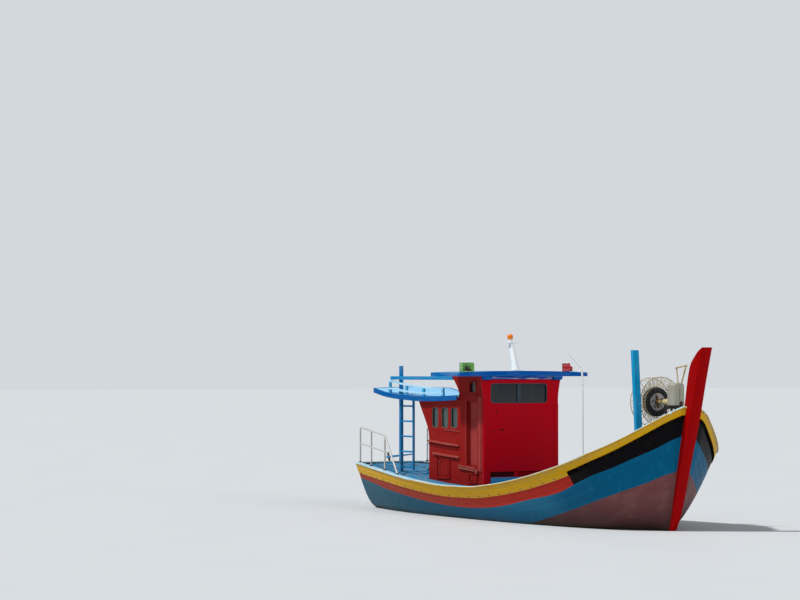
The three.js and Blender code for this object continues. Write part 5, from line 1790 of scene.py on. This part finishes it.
    def gearbox(self) -> None:
        """The gearbox with its flange, bolts, plug and levers."""
        (x0, x1, _, z0, z1), y = self.box, self.y
        case = Solid().board(Plane.YZ, self.loaf(0.0, 0.07), x0 + 0.006, x1 - 0.026)
        case.board(Plane.YZ, self.loaf(0.006, 0.066), x1 - 0.03, x1)
        case.turned((x0 + 0.008, y, self.z), (-1, 0, 0), ((-0.01, 0.075), (0.004, 0.07), (0.008, 0.05)), 28)
        case.piece("gearbox_case", "beige", replaces=["hauler_gearbox"], bevel=0.012)
        bolts = Solid().box((x1 - 0.002, y - 0.006, z0 + 0.1), (x1 + 0.003, y + 0.004, z1 - 0.12))
        plug = ((0, 0.046), (0.008, 0.046), (0.01, 0.032))
        bolts.turned((x1 - 0.004, y + 0.03, z0 + 0.042), (1, 0, 0), plug, 24)
        bolts.piece("gearbox_bolts", "bolt")
        handle = Solid()
        line = [(a, self.handle_y, b) for a, b in self.handle]
        for start, end, r in zip(line, line[1:], (0.018, 0.015, 0.014)):
            handle.tube([start, end], r, 10)
        for x, _, z in line[1:3]:
            handle.turned((x, self.handle_y - 0.02, z), (0, 1, 0), ((0, 0.02), (0.04, 0.02)), 14)
        handle.piece("gearbox_handle", "tan_iron")


@dataclass
class RoofGear:
    """Mast with its beacon, and the two side lights."""

    foot: float = -0.223
    head: float = -0.403
    top: float = 3.742
    lamp: float = -0.44
    light_x: Pair = (-0.06, -0.12)
    light_y: float = 1.33

    def build(self) -> None:
        """Builds the mast, the beacon and the lights."""
        self.mast()
        self.beacon()
        for side, s in SIDES.items():
            self.side_light(side, s)

    def mast(self) -> None:
        """The tapered mast with its foot plate, bolts and lamp shelf."""
        foot, head, top, base, up = self.foot, self.head, self.top, ROOF.top(0.0), (0, 0, 1)
        mast, rings = Solid(), []
        for share, r in ((0, 0.084), (0.12, 0.082), (0.5, 0.066), (0.85, 0.053), (1, 0.051)):
            x, z = foot + (head - foot) * share, base + 0.012 + (top - base - 0.012) * share
            rings.append([(x + r * math.cos(a), r * math.sin(a), z) for a in turns(32)])
        mast.loft(rings)
        plate = rounded(foot - 0.13, foot + 0.13, -0.13, 0.13, 0.02)
        mast.board(Plane.XY, plate, base + 0.001, base + 0.020)
        shelf = rounded(head - 0.085, head + 0.05, -0.12, 0.12, 0.012)
        mast.board(Plane.XY, shelf, top - 0.004, top + 0.018)
        holder = ((0, 0.046), (0.006, 0.046), (0.012, 0.044), (0.066, 0.044), (0.072, 0.052), (0.082, 0.052))
        mast.turned((self.lamp, 0, top + 0.016), up, holder, 24)
        for a in (math.pi / 4 + turn for turn in turns(4)):
            spot = (foot + 0.14 * math.cos(a), 0.14 * math.sin(a), base + 0.018)
            mast.bolt(spot, up, 0.010, 0.009)
        mast.piece("mast_tube", "white", replaces=["mast"], angle=40)

    def beacon(self) -> None:
        """The ribbed amber lens."""
        lens = [(0.078, 0.050), (0.084, 0.058)]
        for z in (n * 0.018 for n in range(4)):
            lens += [(0.088 + z, 0.062), (0.096 + z, 0.060), (0.102 + z, 0.062)]
        lens += [(0.164, 0.061), (0.178, 0.052), (0.188, 0.036), (0.193, 0.012)]
        at, profile = (self.lamp, 0, self.top + 0.008), [(a * 0.99, r) for a, r in lens]
        Solid().turned(at, (0, 0, 1), profile, 32).piece("beacon_lens", "amber", replaces=["beacon"])

    def side_light(self, side: str, s: int) -> None:
        """A light screen open forward and outboard, green to starboard and red to port."""
        x, y, up, name = self.light_x[s > 0], self.light_y, (0, 0, 1), f"sidelight_{side}"
        foot = ROOF.top(y) + 0.004
        top, aft, ahead = foot + 0.198, x - 0.15, x + 0.15
        board, frame = Siding(y - 0.095, s), Siding(y - 0.095, s)
        sheet = [(aft, foot), (ahead, foot), (ahead, top - 0.035), (x + 0.115, top), (aft, top)]
        board.plank(sheet, 0.0, 0.018)
        frame.block(aft, ahead, foot - 0.003, foot + 0.016, 0.0, 0.188)
        frame.block(aft, x - 0.132, foot, top, 0.0, 0.188)
        if s < 0:
            board.piece("starboard_light_board", "dark_green", bevel=0.004)
            frame.block(aft, x - 0.02, foot, top, 0.170, 0.188)
            frame.piece("starboard_light_box", "green", replaces=[name], bevel=0.004)
        else:
            board.piece("port_light_board", "lamp_red_board", bevel=0.004)
            frame.block(x - 0.152, x + 0.115, top - 0.014, top + 0.002, -0.004, 0.022)
            frame.piece("port_light_box", "white", replaces=[name], slot="lamp_red", bevel=0.004)
        base = ((0, 0.05), (0.012, 0.05), (0.016, 0.042), (0.03, 0.042))
        Solid().turned((x + 0.03, s * y, foot + 0.014), up, base, 24).piece(f"{side}_lamp_base", "bolt")
        glass = ((0, 0.044), (0.006, 0.05), (0.055, 0.05), (0.07, 0.044), (0.082, 0.024), (0.085, 0.008))
        lens = Solid().turned((x + 0.03, s * y, foot + 0.04), up, glass, 28)
        lens.piece(f"{side}_lens", "dark_lens" if s < 0 else "red_lens")


@dataclass
class Helm:
    """Console and wheel inside the wheelhouse."""

    hub: Vec = (-0.36, -0.26, 1.62)
    r: float = 0.24
    tilt: float = 0.25

    def build(self) -> None:
        """Builds the console and the wheel."""
        profile = [(-0.06, 0.75), (-0.30, 0.75), (-0.30, 1.70), (-0.20, 1.82), (-0.06, 1.86)]
        Solid().board(Plane.XZ, profile, -0.62, 0.10).piece("helm_console", "brick", bevel=0.008)
        (x, y, z), r = self.hub, self.r
        back, up = math.sin(self.tilt) * r, math.cos(self.tilt) * r
        ring = [(x - back * math.sin(t), y + r * math.cos(t), z + up * math.sin(t)) for t in turns(36)]
        wheel = Solid().tube(ring, 0.014, 10, loop=True)
        for rim in ring[::6]:
            wheel.tube([self.hub, rim], 0.008, 8)
        wheel.tube([(x - 0.01, y, z), (-0.295, y, z - 0.03)], 0.022, 12)
        wheel.piece("helm_wheel", "iron")


@dataclass(frozen=True)
class Dressing:
    """Finishes and rounded edges of the frame's own solids that stay in view."""

    coats: tuple[tuple[str, float, str], ...] = (
        ("deck", 0.0, "hull"),
        ("engine", 0.02, "engine"),
        ("bottom", 0.01, "keel"),
        ("bottom", 0.006, "rudder"),
        ("bronze", 0.0, "propeller"),
        ("iron", 0.004, "rudder_shoe"),
        ("iron", 0.003, "hauler_stand"),
        ("inside", 0.006, "tiller front_sill hatch_coaming_aft hatch_coaming_fore"),
        ("crimson", 0.004, "wheelhouse_front"),
        ("brick", 0.004, "wheelhouse_side_starboard wheelhouse_side_port"),
        ("brick", 0.004, "cabin_side_starboard cabin_side_port"),
        ("brick", 0.003, "wheelhouse_back cabin_back cabin_door sliding_door_starboard sliding_door_port"),
        ("brick", 0.003, "side_hatch_starboard side_hatch_port"),
        ("glass", 0.0, "wheelhouse_glass_front porthole_glass_starboard porthole_glass_port"),
        ("cabin_glass", 0.0, "cabin_glass_starboard cabin_glass_port"),
        ("beam", 0.008, "roof_beam_starboard roof_beam_port"),
        ("post", 0.008, "aft_post_starboard aft_post_port"),
        ("post", 0.005, "ladder"),
        ("sky", 0.012, "bow_post"),
        ("white", 0.0, "flag_staff"),
    )

    def apply(self, nodes: Mapping[str, bpy.types.Object]) -> None:
        """Gives every shown node its finish.

        Args:
            nodes: The frame's nodes by name.
        """
        for finish, bevel, names in self.coats:
            for node in (nodes[name] for name in names.split()):
                if node.hide_render:
                    continue
                node.data.materials.clear()
                node.data.materials.append(PaintShop.get(finish))
                if bevel:
                    soften(node, bevel, weld=True)


@dataclass
class Studio:
    """Camera, lights, backdrop and floor."""

    eye: Vec = (47.12, -30.21, 3.1)
    pixels: float = 2600.0
    frame: int = 800
    film: float = 36.0
    tilt: float = 73.0
    heading: Pair = (-0.866025, 0.5)
    lights: tuple[tuple[str, Vec, float, float], ...] = (
        ("sun", (-0.12, -0.62, 0.95), 3.1, 4.0), ("fill", (0.9, 0.1, 0.35), 0.9, 30.0),
    )

    def build(self) -> None:
        """Sets up the camera, the lights, the backdrop and the floor."""
        scene = bpy.context.scene
        camera = bpy.data.cameras.new("camera")
        camera.sensor_width = self.film
        camera.lens = self.film * self.pixels / self.frame
        camera.clip_end = 2000.0
        holder = place("camera", camera)
        up = math.atan(self.tilt / self.pixels)
        east, north = self.heading
        holder.location = self.eye
        self.aim(holder, Vector((east * math.cos(up), north * math.cos(up), math.sin(up))), "-Z")
        scene.camera = holder
        scene.view_settings.view_transform = "Standard"
        for name, towards, power, width in self.lights:
            data = bpy.data.lights.new(name, "SUN")
            data.energy, data.angle = power, math.radians(width)
            self.aim(place(name, data), Vector(towards), "Z")
        self.sky(scene)
        self.floor()

    @staticmethod
    def aim(made: bpy.types.Object, way: Vector, axis: str) -> None:
        """Turns an object so that one of its axes points along a direction."""
        made.rotation_mode = "QUATERNION"
        made.rotation_quaternion = way.to_track_quat(axis, "Y")

    @staticmethod
    def sky(scene: bpy.types.Scene) -> None:
        """A pale backdrop, brighter to the eye than the light it gives the boat."""
        world = bpy.data.worlds.new("studio")
        world.use_nodes = True
        tree = world.node_tree
        back = tree.nodes["Background"]
        back.inputs["Color"].default_value = linear("e2e7ec")
        seen, power = (tree.nodes.new(f"ShaderNode{kind}") for kind in ("LightPath", "MapRange"))
        power.inputs["To Min"].default_value = 0.34
        power.inputs["To Max"].default_value = 0.86
        tree.links.new(seen.outputs["Is Camera Ray"], power.inputs["Value"])
        tree.links.new(power.outputs["Result"], back.inputs["Strength"])
        scene.world = world

    @staticmethod
    def floor() -> None:
        """A pale floor at the waterline."""
        r, half = Recipe("floor"), 400.0
        tone = r.blend("ced2d5", "d4d7d9", r.noise(0.4, 3.0))
        mesh = bpy.data.meshes.new("floor")
        corners = [(x, y, 0.0) for x, y in ((-half, -half), (half, -half), (half, half), (-half, half))]
        mesh.from_pydata(corners, [], [(0, 1, 2, 3)])
        mesh.materials.append(r.surface({"Base Color": tone, "Roughness": 0.55 + r.noise(1.0, 2.0) * 0.1}))
        place("floor", mesh)


def main() -> None:
    """Builds the boat's looks around the frame, then the studio."""
    logging.basicConfig(level=logging.INFO, format="%(message)s")
    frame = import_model()
    parts = (
        Planking(), Wale(), CapRail(), Bulwarks(), StemPost(), Deck(), HouseFront(), HouseSide(), CabinSide(),
        ROOF, CANOPY, QuarterRails(), Hatches(), Hauler(), RoofGear(), Helm(),
    )
    for part in parts:
        part.build()
        LOG.info("built %s", type(part).__name__)
    Dressing().apply(frame["nodes"])
    Studio().build()


if __name__ == "__main__":
    main()
